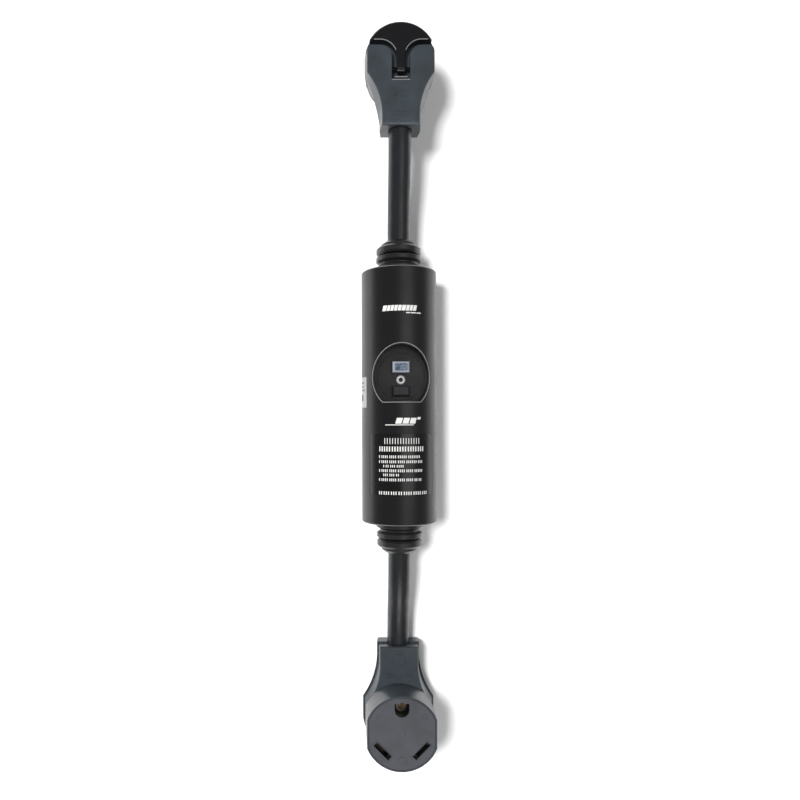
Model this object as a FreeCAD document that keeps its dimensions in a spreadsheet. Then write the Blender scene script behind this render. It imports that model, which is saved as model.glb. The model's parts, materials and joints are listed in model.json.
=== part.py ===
"""In-line surge protector for a 30 A caravan supply.

A round housing lies along Y. A short cable joins its +Y end to a three-blade
plug, and another joins its -Y end to a matching connector. Z is up, the origin
is on the resting plane below the middle of the housing, and sizes are in mm.
"""
import FreeCAD, Part
import math
import os

import Sketcher

Vector = FreeCAD.Vector
doc = FreeCAD.newDocument("SurgeProtector")

# ---------------------------------------------------------------- driving sizes
SIZES = {
    # housing
    "housing_diameter": 57.0,
    "housing_length": 190.0,
    "housing_wall": 3.0,
    "rim_chamfer": 0.9,
    "clearance": 0.15,
    "cap_flange_radius": 27.0,
    "cap_flange_depth": 2.5,
    "cap_inset": 0.5,
    "cap_spigot_depth": 7.0,
    "seal_section": 1.6,
    "seal_setback": 3.2,
    "thread_radius": 12.5,
    # end cap and board screws
    "screw_radius": 1.4,
    "screw_head_radius": 2.6,
    "screw_head_height": 1.9,
    "screw_slot_width": 0.7,
    "cap_screw_offset": 21.4,
    "cap_screw_length": 16.0,
    # cable glands
    "gland_radius": 17.5,
    "gland_length": 12.5,
    "gland_groove_radius": 14.6,
    "gland_rib_end": 4.4,
    "gland_groove_start": 6.2,
    "gland_groove_end": 7.2,
    "gland_second_rib": 8.8,
    "gland_second_step": 0.3,
    "gland_chamfer": 0.8,
    "gland_mouth_chamfer": 0.9,
    "gland_pocket_depth": 5.0,
    "gland_gap": 1.1,
    "nut_radius": 17.0,
    "nut_chamfer": 1.4,
    "nut_shoulder": 1.6,
    "nut_shoulder_start": 2.0,
    "nut_shoulder_end": 0.4,
    "nut_nose_bevel": 2.2,
    "nut_length": 6.6,
    "nut_nose_radius": 13.4,
    "nut_nose_length": 3.8,
    "nut_mouth_radius": 10.4,
    "gland_tail": 15.5,
    "locknut_radius": 15.4,
    "locknut_thickness": 4.0,
    "locknut_chamfer": 0.6,
    "seal_wall": 2.2,
    # cables
    "cable_diameter": 17.0,
    "cable_end": 38.0,
    "lead_diameter": 4.2,
    "lead_spread": 4.4,
    # control panel
    "panel_centre": 14.0,
    "panel_half_width": 21.7,
    "panel_half_length": 25.0,
    "panel_flat": 19.3,
    "panel_rim": 1.1,
    "panel_floor_level": 46.0,
    "panel_floor_thickness": 2.0,
    "panel_skirt_level": 42.2,
    "gasket_thickness": 0.6,
    "gasket_setback": 1.1,
    "panel_ring_radius": 18.0,
    "panel_ring_width": 0.8,
    "panel_ring_depth": 0.5,
    # buttons and light
    "button_width": 12.4,
    "reset_depth": 8.1,
    "reset_centre": 21.4,
    "test_depth": 7.5,
    "test_centre": 3.7,
    "button_rise": 4.0,
    "button_travel": 1.5,
    "button_gap": 0.2,
    "button_chamfer": 0.9,
    "button_lip": 1.0,
    "plunger_radius": 1.5,
    "spring_radius": 2.6,
    "spring_wire": 0.5,
    "spring_turns": 4.0,
    "light_centre": 12.0,
    "light_radius": 1.4,
    "bezel_radius": 3.3,
    "bezel_rise": 1.6,
    "bezel_bevel": 0.8,
    "bezel_flange": 0.7,
    "bezel_mouth": 0.4,
    "bezel_mouth_depth": 0.5,
    "lens_foot_depth": 3.0,
    "lens_flange": 0.5,
    "lens_flange_height": 0.9,
    "lens_setback": 0.2,
    "light_leg_side": 0.9,
    "light_leg_half_width": 0.25,
    # electronics
    "board_level": 31.4,
    "board_thickness": 1.6,
    "board_half_width": 21.6,
    "board_end": 59.0,
    "relay_half_width": 11.0,
    "relay_setback": 3.0,
    "relay_length": 29.0,
    "relay_height": 15.5,
    "varistor_radius": 8.0,
    "varistor_thickness": 4.6,
    "varistor_place": 34.0,
    "varistor_pitch": 7.5,
    "varistor_rise": 8.1,
    "varistor_foot_half_width": 3.6,
    "varistor_foot_setback": 1.9,
    "varistor_foot_thickness": 0.8,
    "varistor_foot_height": 3.0,
    "fuse_radius": 2.2,
    "fuse_place": 36.0,
    "fuse_length": 14.0,
    "fuse_side": 13.0,
    "fuse_rise": 2.4,
    "chip_half_width": 6.0,
    "chip_setback": 5.0,
    "chip_length": 12.0,
    "chip_height": 1.8,
    "sensor_radius": 13.0,
    "sensor_bore": 7.6,
    "sensor_gap": 5.0,
    "sensor_length": 10.0,
    "switch_side": 8.0,
    "switch_height": 3.0,
    "terminal_pitch": 12.0,
    "terminal_side": 8.0,
    "terminal_length": 11.0,
    "terminal_place": 38.0,
    # labels
    "label_thickness": 0.2,
    "label_recess": 0.3,
    "instruction_angle": 54.0,
    "instruction_start": 27.9,
    "instruction_length": 45.0,
    "rating_angle": 27.0,
    "rating_centre": 3.2,
    "rating_length": 22.9,
    # plug
    "plug_neck_place": 197.0,
    "plug_centre": 49.3,
    "plug_radius": 26.5,
    "plug_half_depth": 12.0,
    "plug_half_width": 26.2,
    "plug_face_half_width": 24.8,
    "plug_neck_half_width": 15.2,
    "plug_neck_face_half_width": 14.0,
    "plug_waist": 4.5,
    "plug_face_waist": 8.5,
    "plug_shoulder": 43.0,
    "plug_face_shoulder": 38.7,
    "plug_taper_radius": 150.0,
    "plug_face_taper_radius": 52.0,
    "nose_radius": 24.3,
    "nose_depth": 10.0,
    # handle
    "handle_thickness": 6.0,
    "handle_gap": 0.3,
    "handle_pin_place": 41.5,
    "handle_pin_radius": 1.2,
    "handle_pin_half_length": 9.4,
    "handle_stem_end": 2.7,
    "handle_stem_top": 3.0,
    "handle_sweep": 12.0,
    "handle_bar_edge": 61.6,
    "channel_half_width": 6.7,
    "channel_end": 32.7,
    "pad_corner": 8.0,
    "pad_edge": 57.4,
    "pad_outer_corner": 4.0,
    "channel_rib_place": 33.6,
    "channel_rib_width": 1.2,
    "channel_rib_half_length": 5.2,
    "channel_rib_height": 3.6,
    "handle_edge_rounding": 0.8,
    "handle_rounding": 3.2,
    # connector
    "connector_neck_place": 193.0,
    "connector_centre": 56.3,
    "connector_radius": 28.0,
    "connector_half_depth": 12.0,
    "connector_half_width": 27.8,
    "connector_face_half_width": 26.0,
    "connector_neck_half_width": 16.6,
    "connector_neck_face_half_width": 15.6,
    "connector_waist": 9.0,
    "connector_face_waist": 14.0,
    "connector_shoulder": 42.6,
    "connector_face_shoulder": 46.0,
    "connector_taper_radius": 60.0,
    "connector_face_taper_radius": 52.0,
    "connector_ledge": 1.3,
    "connector_face_ledge": 0.5,
    "boss_radius": 27.9,
    "boss_half_width": 25.8,
    "boss_height": 25.0,
    "face_rim": 1.3,
    "face_thickness": 3.0,
    "core_radius": 23.6,
    "core_half_width": 21.5,
    "core_depth": 16.0,
    # heads, shared
    "shell_wall": 3.0,
    "cover_cavity": 3.4,
    "body_cavity": 9.8,
    "core_floor": 2.0,
    "tab_rise": 7.5,
    "clamp_place": 11.0,
    "clamp_width": 6.0,
    "clamp_wall": 1.8,
    "clamp_ear": 2.4,
    "clamp_underside": 0.1,
    "clamp_head_radius": 1.95,
    "clamp_head_height": 1.1,
    "clamp_screw_length": 8.0,
    "clamp_reach": 13.0,
    "clamp_screw_offset": 10.9,
    "clamp_screw_radius": 1.2,
    "cover_screw_side": 17.4,
    "cover_screw_setback": 9.0,
    "cover_screw_end": 18.0,
    "boss_wall": 2.0,
    "edge_rounding": 2.0,
    # blades and contacts, the same pattern on both heads
    "blade_side": 14.4,
    "blade_forward": 12.3,
    "ground_back": 17.4,
    "blade_width": 12.7,
    "blade_thickness": 1.8,
    "blade_reach": 17.5,
    "blade_chamfer": 1.6,
    "pin_radius": 2.4,
    "pin_reach": 22.0,
    "pin_shank_radius": 1.9,
    "pin_shoulder_gap": 0.4,
    "pin_mouth_depth": 1.0,
    "pin_tip_chamfer": 1.0,
    "pin_tip_length": 1.4,
    "pin_collar": 1.6,
    "root_depth": 1.6,
    "root_step": 0.2,
    "slot_width": 15.2,
    "slot_thickness": 3.8,
    "ground_slot_half_width": 5.4,
    "ground_slot_depth": 10.0,
    "contact_leaf": 0.9,
    "contact_play": 0.05,
    "contact_width": 10.6,
    "contact_height": 8.5,
    "contact_setback": 8.0,
    "sleeve_wall": 1.3,
    "sleeve_length": 9.0,
    "sleeve_setback": 8.0,
    "tab_thickness": 1.4,
    "tab_side": 7.0,
}

sheet = doc.addObject("Spreadsheet::Sheet", "dim")
for row, (alias, number) in enumerate(SIZES.items(), start=1):
    sheet.set(f"A{row}", alias)
    sheet.set(f"B{row}", str(number))
    sheet.setAlias(f"B{row}", alias)
doc.recompute()

# Levels and places that many pieces share, as formulas over the sheet.
AXIS = "(dim.housing_diameter / 2)"
HALF = "(dim.housing_length / 2)"
BORE = "(dim.housing_diameter / 2 - dim.housing_wall)"
CAP_FACE = f"({HALF} - dim.cap_inset)"
CAP_BACK = f"({CAP_FACE} - dim.cap_flange_depth - dim.cap_spigot_depth)"
CABLE = "(dim.cable_diameter / 2)"
GLAND_FACE = f"({CAP_FACE} + dim.gland_length + dim.gland_gap + dim.nut_length + dim.nut_nose_length)"
BOARD_TOP = "(dim.board_level + dim.board_thickness)"
SWITCH_TOP = f"({BOARD_TOP} + dim.switch_height)"
PANEL_UNDER = "(dim.panel_floor_level - dim.panel_floor_thickness)"
PLUG_AXIS = "(dim.plug_half_depth + dim.nose_depth + dim.pin_reach)"
HANDLE_FLOOR = "(dim.plug_half_depth - dim.handle_thickness)"
HANDLE_PIN_LEVEL = "(dim.plug_half_depth - dim.handle_thickness / 2)"
SEALED_RADIUS = f"({CABLE} + dim.seal_wall)"


def value(formula):
    """The number that a formula over the sheet stands for."""
    return float(sheet.evalExpression(str(formula)))


# ---------------------------------------------------------------- building blocks
def bind(item, **formulas):
    for name, formula in formulas.items():
        item.setExpression(name, str(formula))


def place(item, x="0", y="0", z="0", axis=(0, 0, 1), angle=0):
    item.Placement = FreeCAD.Placement(Vector(), FreeCAD.Rotation(Vector(*axis), angle))
    for letter, formula in zip("xyz", (x, y, z)):
        item.setExpression(f"Placement.Base.{letter}", str(formula))
    return item


def box(name, x, y, z):
    """A block between a low and a high formula on each axis."""
    item = doc.addObject("Part::Box", name)
    bind(item, Length=f"({x[1]}) - ({x[0]})", Width=f"({y[1]}) - ({y[0]})", Height=f"({z[1]}) - ({z[0]})")
    return place(item, x[0], y[0], z[0])


def rod(name, radius, low, high, along="Z", at=("0", "0")):
    """A cylinder from low to high along one axis, at the other two coordinates."""
    item = doc.addObject("Part::Cylinder", name)
    bind(item, Radius=radius, Height=f"({high}) - ({low})")
    if along == "X":
        return place(item, low, at[0], at[1], (0, 1, 0), 90)
    if along == "Y":
        return place(item, at[0], low, at[1], (1, 0, 0), -90)
    return place(item, at[0], at[1], low)


def join(name, *items):
    item = doc.addObject("Part::MultiFuse", name)
    item.Shapes = list(items)
    return item


def cut(name, base, *tools):
    item = doc.addObject("Part::Cut", name)
    item.Base = base
    item.Tool = tools[0] if len(tools) == 1 else join(f"{name}_cutters", *tools)
    return item


def overlap(name, *items):
    item = doc.addObject("Part::MultiCommon", name)
    item.Shapes = list(items)
    return item


def new_body(name):
    return doc.addObject("PartDesign::Body", name)


def draw(body, name, plane, corners, offset="0"):
    """A closed outline on an origin plane, with every corner tied to the sheet.

    A corner is (x, y), or (x, y, radius) when the edge to the next corner is an
    arc. A positive radius turns left, and a negative one turns right.
    """
    sketch = body.newObject("Sketcher::SketchObject", name)
    support = [item for item in body.Origin.OriginFeatures if item.Role == plane][0]
    sketch.AttachmentSupport = (support, [""])
    sketch.MapMode = "FlatFace"
    sketch.setExpression("AttachmentOffset.Base.z", str(offset))
    points = [Vector(value(corner[0]), value(corner[1])) for corner in corners]
    ends = []
    for index, corner in enumerate(corners):
        start = points[index]
        stop = points[(index + 1) % len(points)]
        if len(corner) == 2:
            ends.append((sketch.addGeometry(Part.LineSegment(start, stop), False), 1, 2))
            continue
        radius, side = corner[2]
        chord = stop - start
        rise = math.sqrt(value(radius) ** 2 - (chord.Length / 2) ** 2)
        left = Vector(-chord.y, chord.x).normalize()
        centre = (start + stop) * 0.5 + left * (rise * side)
        circle = Part.Circle(centre, Vector(0, 0, 1), value(radius))
        angles = [math.atan2(point.y - centre.y, point.x - centre.x) for point in (start, stop)]
        if side > 0:
            ends.append((sketch.addGeometry(Part.ArcOfCircle(circle, *angles), False), 1, 2))
        else:
            ends.append((sketch.addGeometry(Part.ArcOfCircle(circle, *reversed(angles)), False), 2, 1))
        number = sketch.addConstraint(Sketcher.Constraint("Radius", ends[-1][0], value(radius)))
        sketch.setExpression(f"Constraints[{number}]", str(radius))
    for index, corner in enumerate(corners):
        edge, first, _ = ends[index]
        before, _, last = ends[index - 1]
        sketch.addConstraint(Sketcher.Constraint("Coincident", before, last, edge, first))
        for kind, formula in (("DistanceX", corner[0]), ("DistanceY", corner[1])):
            number = sketch.addConstraint(Sketcher.Constraint(kind, -1, 1, edge, first, value(formula)))
            sketch.setExpression(f"Constraints[{number}]", str(formula))
    return sketch


def revolved(name, profile, plane="XY_Plane"):
    """A ring turned about the sketch's upright axis, from (radius, height) corners."""
    body = new_body(name)
    sketch = draw(body, f"{name}_profile", plane, profile)
    turn = body.newObject("PartDesign::Revolution", f"{name}_turn")
    turn.Profile = sketch
    turn.ReferenceAxis = (sketch, ["V_Axis"])
    turn.Angle = 360
    return body


def padded(name, plane, corners, length, symmetric=False, offset="0"):
    body = new_body(name)
    sketch = draw(body, f"{name}_outline", plane, corners, offset)
    pad = body.newObject("PartDesign::Pad", f"{name}_pad")
    pad.Profile = sketch
    bind(pad, Length=length)
    if symmetric:
        pad.SideType = "Symmetric"
    return body


def lofted(name, sections):
    """A solid through several outlines, each with its own level above the XY plane."""
    body = new_body(name)
    sketches = [
        draw(body, f"{name}_section{number}", "XY_Plane", corners, level)
        for number, (corners, level) in enumerate(sections)
    ]
    loft = body.newObject("PartDesign::AdditiveLoft", f"{name}_loft")
    loft.Profile = sketches[0]
    loft.Sections = sketches[1:]
    loft.Ruled = True
    return body


def tube(points, radius):
    """A round tube along straight runs joined by tangent arcs.

    Each arc's tangent length is 0.45 of its shorter run.
    """
    places = [Vector(*point) for point in points]
    edges = []
    radii = []
    start = places[0]
    for before, corner, after in zip(places, places[1:], places[2:]):
        tangent = 0.45 * min((corner - before).Length, (after - corner).Length)
        come = (corner - before).normalize()
        leave = (after - corner).normalize()
        half_turn = come.getAngle(leave) / 2
        bend = tangent / math.tan(half_turn)
        inward = (leave - come).normalize()
        middle = corner + inward * (bend / math.cos(half_turn) - bend)
        arc_start = corner - come * tangent
        arc_stop = corner + leave * tangent
        edges.append(Part.LineSegment(start, arc_start).toShape())
        edges.append(Part.Arc(arc_start, middle, arc_stop).toShape())
        radii.append(bend)
        start = arc_stop
    edges.append(Part.LineSegment(start, places[-1]).toShape())
    path = Part.Wire(edges)
    section = Part.Wire(Part.makeCircle(radius, places[0], places[1] - places[0]))
    solid = path.makePipeShell([section], True, False)
    return solid, path.Length, radii


def shaped(name, shape):
    item = doc.addObject("Part::Feature", name)
    item.Shape = shape
    return item


PIECES = []


def piece(item, label):
    """Give a finished sub-part its own name."""
    item.Label = label
    PIECES.append(item)
    return item


def screw(name, radius, head_radius, low, high, at, along="Z", head_at_low=True):
    """A pan head screw with a cross recess, lying along one axis."""
    depth = "dim.screw_head_height"
    inner = f"({low}) + {depth}" if head_at_low else f"({high}) - {depth}"
    head_span = (low, inner) if head_at_low else (inner, high)
    recess = (low, f"({low}) + {depth} * 0.6") if head_at_low else (f"({high}) - {depth} * 0.6", high)
    shank = rod(f"{name}_shank", radius, low, high, along, at)
    head = rod(f"{name}_head", head_radius, head_span[0], head_span[1], along, at)
    slot = "dim.screw_slot_width / 2"
    reach = f"({head_radius}) * 0.62"
    bars = []
    for number, (first, second) in enumerate(((slot, reach), (reach, slot))):
        across = (f"({at[0]}) - {first}", f"({at[0]}) + {first}")
        upward = (f"({at[1]}) - {second}", f"({at[1]}) + {second}")
        spans = {"Z": (across, upward, recess), "Y": (across, recess, upward), "X": (recess, across, upward)}
        bars.append(box(f"{name}_bar{number}", *spans[along]))
    return cut(name, join(f"{name}_blank", shank, head), *bars)


# ---------------------------------------------------------------- housing
def sector(name, inner, outer, first_angle, last_angle, middle, length):
    """Part of a thin ring about the housing's axis, by angles from the top."""
    def at(radius, angle):
        return f"({radius}) * sin({angle})", f"({radius}) * cos({angle})"

    corners = [
        (*at(outer, first_angle), (outer, -1)),
        at(outer, last_angle),
        (*at(inner, last_angle), (inner, 1)),
        at(inner, first_angle),
    ]
    body = padded(name, "XZ_Plane", corners, length, symmetric=True)
    return place(body, "0", middle, AXIS)


def panel_prism(name, shrink, low, high):
    """An upright prism with the panel's outline: an ellipse with one straight end."""
    ellipse = doc.addObject("Part::Ellipse", f"{name}_ellipse")
    bind(
        ellipse,
        MajorRadius=f"dim.panel_half_length - ({shrink})",
        MinorRadius=f"dim.panel_half_width - ({shrink})",
    )
    place(ellipse, "0", "dim.panel_centre", low, (0, 0, 1), 90)
    prism = doc.addObject("Part::Extrusion", f"{name}_prism")
    prism.Base = ellipse
    prism.DirMode = "Custom"
    prism.Dir = Vector(0, 0, 1)
    prism.Solid = True
    bind(prism, LengthFwd=f"({high}) - ({low})")
    keep = box(
        f"{name}_keep",
        ("-dim.housing_diameter", "dim.housing_diameter"),
        (f"dim.panel_centre - dim.panel_flat + ({shrink})", "dim.panel_centre + dim.housing_diameter"),
        (low, high),
    )
    return overlap(name, prism, keep)


def housing():
    rim = "dim.rim_chamfer"
    outer = AXIS
    seat = "dim.cap_flange_radius + dim.clearance"
    ledge = f"({CAP_FACE} - dim.cap_flange_depth)"
    tube_blank = revolved("tube_blank", [
        (seat, HALF), (f"{outer} - {rim}", HALF), (outer, f"{HALF} - {rim}"),
        (outer, f"{rim} - {HALF}"), (f"{outer} - {rim}", f"-{HALF}"), (seat, f"-{HALF}"),
        (seat, f"-{ledge}"), (BORE, f"-{ledge}"), (BORE, ledge), (seat, ledge),
    ])
    place(tube_blank, "0", "0", AXIS)
    window = panel_prism("panel_window", "0", AXIS, "dim.housing_diameter + 1")
    recess = f"{outer} - dim.label_recess"
    above = f"{outer} + 1"
    gap = "dim.clearance / dim.housing_diameter * 115"
    edge = "dim.clearance * 2"
    instruction_middle = "0 - dim.instruction_start - dim.instruction_length / 2"
    instruction_seat = sector(
        "instruction_seat", recess, above, f"0 - dim.instruction_angle - {gap}",
        f"dim.instruction_angle + {gap}", instruction_middle, f"dim.instruction_length + {edge}")
    rating_seat = sector(
        "rating_seat", recess, above, f"0 - 90 - dim.rating_angle - {gap}",
        f"dim.rating_angle + {gap} - 90", "dim.rating_centre", f"dim.rating_length + {edge}")
    piece(cut("tube", tube_blank, window, instruction_seat, rating_seat), "housing_tube")

    skin = f"{recess} + dim.label_thickness"
    piece(sector(
        "instruction", recess, skin, "0 - dim.instruction_angle", "dim.instruction_angle",
        instruction_middle, "dim.instruction_length"), "instruction_label")
    piece(sector(
        "rating", recess, skin, "0 - 90 - dim.rating_angle", "dim.rating_angle - 90",
        "dim.rating_centre", "dim.rating_length"), "rating_label")


def end_fittings(side, turn):
    """The cap, seal and cable gland of one end, with +y pointing out of it."""
    def seated(item, label):
        return piece(place(item, "0", "0", AXIS, (0, 0, 1), turn), label)

    spigot = f"{BORE} - dim.clearance"
    flange_back = f"{CAP_FACE} - dim.cap_flange_depth"
    groove_near = f"{flange_back} - dim.seal_setback + dim.seal_section / 2 + dim.clearance"
    groove_far = f"{flange_back} - dim.seal_setback - dim.seal_section / 2 - dim.clearance"
    groove = f"{BORE} - dim.seal_section - dim.clearance"
    hole = "dim.thread_radius + dim.clearance"
    blank = revolved(f"{side}_cap_blank", [
        (hole, CAP_BACK), (spigot, CAP_BACK), (spigot, groove_far), (groove, groove_far),
        (groove, groove_near), (spigot, groove_near), (spigot, flange_back),
        ("dim.cap_flange_radius", flange_back), ("dim.cap_flange_radius", CAP_FACE), (hole, CAP_FACE),
    ])
    holes = []
    for number, sign in enumerate(("", "0 - ")):
        at = (f"{sign}dim.cap_screw_offset", "0")
        shank = "dim.screw_radius + dim.clearance"
        sink = "dim.screw_head_radius + dim.clearance"
        holes.append(rod(f"{side}_cap_hole{number}", shank, f"{CAP_BACK} - 1", f"{CAP_FACE} + 1", "Y", at))
        depth = f"{CAP_FACE} - dim.screw_head_height - dim.clearance"
        holes.append(rod(f"{side}_cap_sink{number}", sink, depth, f"{CAP_FACE} + 1", "Y", at))
    seated(cut(f"{side}_cap", blank, *holes), f"{side}_end_cap")

    ring = doc.addObject("Part::Torus", f"{side}_seal")
    bind(ring, Radius1=f"{BORE} - dim.seal_section / 2 - dim.clearance / 2", Radius2="dim.seal_section / 2")
    place(ring, "0", "0", AXIS, (1, 0, 0), 90)
    middle = f"{flange_back} - dim.seal_setback"
    ring.setExpression("Placement.Base.y", middle if turn == 0 else f"0 - ({middle})")
    piece(ring, f"{side}_cap_seal")

    bore = f"{CABLE} + dim.clearance"
    pocket = f"{SEALED_RADIUS} + dim.clearance"
    top = f"{CAP_FACE} + dim.gland_length"
    step = f"{top} - dim.gland_pocket_depth"
    rib = "dim.gland_radius - dim.gland_second_step"
    seated(revolved(f"{side}_gland", [
        (bore, f"{CAP_FACE} - dim.gland_tail"), ("dim.thread_radius", f"{CAP_FACE} - dim.gland_tail"),
        ("dim.thread_radius", CAP_FACE), ("dim.gland_radius - dim.gland_chamfer", CAP_FACE),
        ("dim.gland_radius", f"{CAP_FACE} + dim.gland_chamfer"),
        ("dim.gland_radius", f"{CAP_FACE} + dim.gland_rib_end"),
        ("dim.gland_groove_radius", f"{CAP_FACE} + dim.gland_groove_start"),
        ("dim.gland_groove_radius", f"{CAP_FACE} + dim.gland_groove_end"),
        (rib, f"{CAP_FACE} + dim.gland_second_rib"), (rib, f"{top} - dim.gland_mouth_chamfer"),
        (f"{rib} - dim.gland_mouth_chamfer", top), (pocket, top), (pocket, step), (bore, step),
    ]), f"{side}_gland_body")

    low = f"{top} + dim.gland_gap"
    mid = f"{low} + dim.nut_length"
    tip = f"{mid} + dim.nut_nose_length"
    seated(revolved(f"{side}_nut", [
        (pocket, low), ("dim.nut_radius - dim.nut_chamfer", low),
        ("dim.nut_radius", f"{low} + dim.nut_chamfer"),
        ("dim.nut_radius", f"{mid} - dim.nut_shoulder_start"),
        ("dim.nut_radius - dim.nut_shoulder", f"{mid} - dim.nut_shoulder_end"),
        ("dim.nut_nose_radius", mid), ("dim.nut_nose_radius", f"{tip} - dim.nut_nose_bevel"),
        ("dim.nut_mouth_radius", tip), (bore, tip), (bore, mid), (pocket, mid),
    ]), f"{side}_gland_nut")

    seated(revolved(f"{side}_grommet", [
        (CABLE, f"{step} + dim.clearance"), (SEALED_RADIUS, f"{step} + dim.clearance"),
        (SEALED_RADIUS, f"{mid} - dim.clearance"), (CABLE, f"{mid} - dim.clearance"),
    ]), f"{side}_gland_seal")

    near = f"{CAP_BACK} - dim.locknut_thickness"
    seated(revolved(f"{side}_locknut", [
        ("dim.thread_radius + dim.clearance", near), ("dim.locknut_radius - dim.locknut_chamfer", near),
        ("dim.locknut_radius", f"{near} + dim.locknut_chamfer"),
        ("dim.locknut_radius", f"{CAP_BACK} - dim.locknut_chamfer"),
        ("dim.locknut_radius - dim.locknut_chamfer", CAP_BACK),
        ("dim.thread_radius + dim.clearance", CAP_BACK),
    ]), f"{side}_gland_locknut")

    high = f"{CAP_FACE} - dim.clearance"
    screws = []
    for number, sign in enumerate(("", "0 - ")):
        at = (f"{sign}dim.cap_screw_offset", "0")
        low_end = f"{high} - dim.cap_screw_length"
        screws.append(screw(
            f"{side}_cap_screw{number}", "dim.screw_radius", "dim.screw_head_radius",
            low_end, high, at, "Y", head_at_low=False))
    seated(join(f"{side}_screws", *screws), f"{side}_cap_screws")


# ---------------------------------------------------------------- control panel
def panel():
    surface = f"{AXIS} - dim.clearance"
    floor = "dim.panel_floor_level"
    top = "dim.housing_diameter + 2"
    ends = ("dim.panel_centre - dim.housing_diameter", "dim.panel_centre + dim.housing_diameter")
    axle = ("0", AXIS)
    under_rim = f"{AXIS} - dim.gasket_setback"
    stem = overlap(
        "panel_stem", panel_prism("panel_stem_outline", "dim.gasket_thickness + dim.clearance",
                                  "dim.panel_skirt_level", top),
        rod("panel_stem_skin", surface, *ends, "Y", axle))
    rim = cut(
        "panel_rim", overlap(
            "panel_rim_blank",
            panel_prism("panel_rim_outline", "dim.clearance", "dim.panel_skirt_level", top),
            rod("panel_rim_skin", surface, *ends, "Y", axle)),
        rod("panel_rim_under", under_rim, *ends, "Y", axle))
    blank = join("panel_blank", stem, rim)
    inner = "dim.gasket_thickness + dim.panel_rim"
    cutters = [
        panel_prism("panel_recess", inner, floor, top),
        panel_prism("panel_hollow", f"{inner} + 0.4", "dim.panel_skirt_level - 1", PANEL_UNDER),
    ]
    ring_centre = ("0", "dim.panel_centre + 0.3")
    groove = cut(
        "panel_groove",
        rod("panel_groove_out", "dim.panel_ring_radius", f"{floor} - dim.panel_ring_depth", f"{floor} + 1",
            "Z", ring_centre),
        rod("panel_groove_in", "dim.panel_ring_radius - dim.panel_ring_width",
            f"{floor} - dim.panel_ring_depth - 1", f"{floor} + 2", "Z", ring_centre))
    cutters.append(groove)
    for name in ("reset", "test"):
        half = f"(dim.{name}_depth / 2 + dim.button_gap)"
        cutters.append(box(
            f"{name}_window",
            ("0 - dim.button_width / 2 - dim.button_gap", "dim.button_width / 2 + dim.button_gap"),
            (f"dim.{name}_centre - {half}", f"dim.{name}_centre + {half}"),
            (f"{PANEL_UNDER} - 1", f"{floor} + 1")))
    light = ("0", "dim.light_centre")
    cutters.append(rod("light_window", "dim.bezel_radius - dim.bezel_flange + dim.clearance",
                       f"{PANEL_UNDER} - 1", f"{floor} + 1", "Z", light))
    piece(cut("panel", blank, *cutters), "control_panel")

    shell = cut(
        "gasket_shell",
        rod("gasket_outer", f"{under_rim} - dim.clearance", *ends, "Y", axle),
        rod("gasket_inner", BORE, *ends, "Y", axle))
    band = cut(
        "gasket_band",
        panel_prism("gasket_out", "dim.clearance / 2", "dim.panel_skirt_level", top),
        panel_prism("gasket_in", "dim.gasket_thickness + dim.clearance / 2", "dim.panel_skirt_level - 1",
                    "dim.housing_diameter + 3"))
    piece(overlap("gasket", shell, band), "panel_gasket")

    bore = "dim.light_radius + dim.clearance / 2"
    bezel_neck = "dim.bezel_radius - dim.bezel_flange"
    bezel_top = f"{floor} + dim.bezel_rise"
    bezel = revolved("bezel", [
        (bore, f"{PANEL_UNDER} - dim.bezel_mouth"), (bezel_neck, f"{PANEL_UNDER} - dim.bezel_mouth"),
        (bezel_neck, floor), ("dim.bezel_radius", floor),
        ("dim.bezel_radius", f"{bezel_top} - dim.bezel_bevel"),
        ("dim.bezel_radius - dim.bezel_bevel", bezel_top),
        (f"{bore} + dim.bezel_mouth", bezel_top), (bore, f"{bezel_top} - dim.bezel_mouth_depth"),
    ], "XZ_Plane")
    piece(place(bezel, "0", "dim.light_centre", "0"), "light_bezel")

    foot = f"{PANEL_UNDER} - dim.lens_foot_depth"
    crown = f"{floor} - dim.lens_setback"
    flange = "dim.light_radius + dim.lens_flange"
    lens = revolved("lens", [
        ("0", foot), (flange, foot), (flange, f"{foot} + dim.lens_flange_height"),
        ("dim.light_radius", f"{foot} + dim.lens_flange_height"),
        ("dim.light_radius", crown, ("dim.light_radius", 1)), ("0", f"{crown} + dim.light_radius"),
    ], "XZ_Plane")
    place(lens, "0", "dim.light_centre", "0")
    legs = []
    thin = "dim.light_leg_half_width"
    for number, side in enumerate(("0 - dim.light_leg_side", "dim.light_leg_side")):
        legs.append(box(f"light_leg{number}", (f"{side} - {thin}", f"{side} + {thin}"),
                        (f"dim.light_centre - {thin}", f"dim.light_centre + {thin}"),
                        (BOARD_TOP, f"{foot} + {thin}")))
    piece(join("light", lens, *legs), "status_light")


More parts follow.
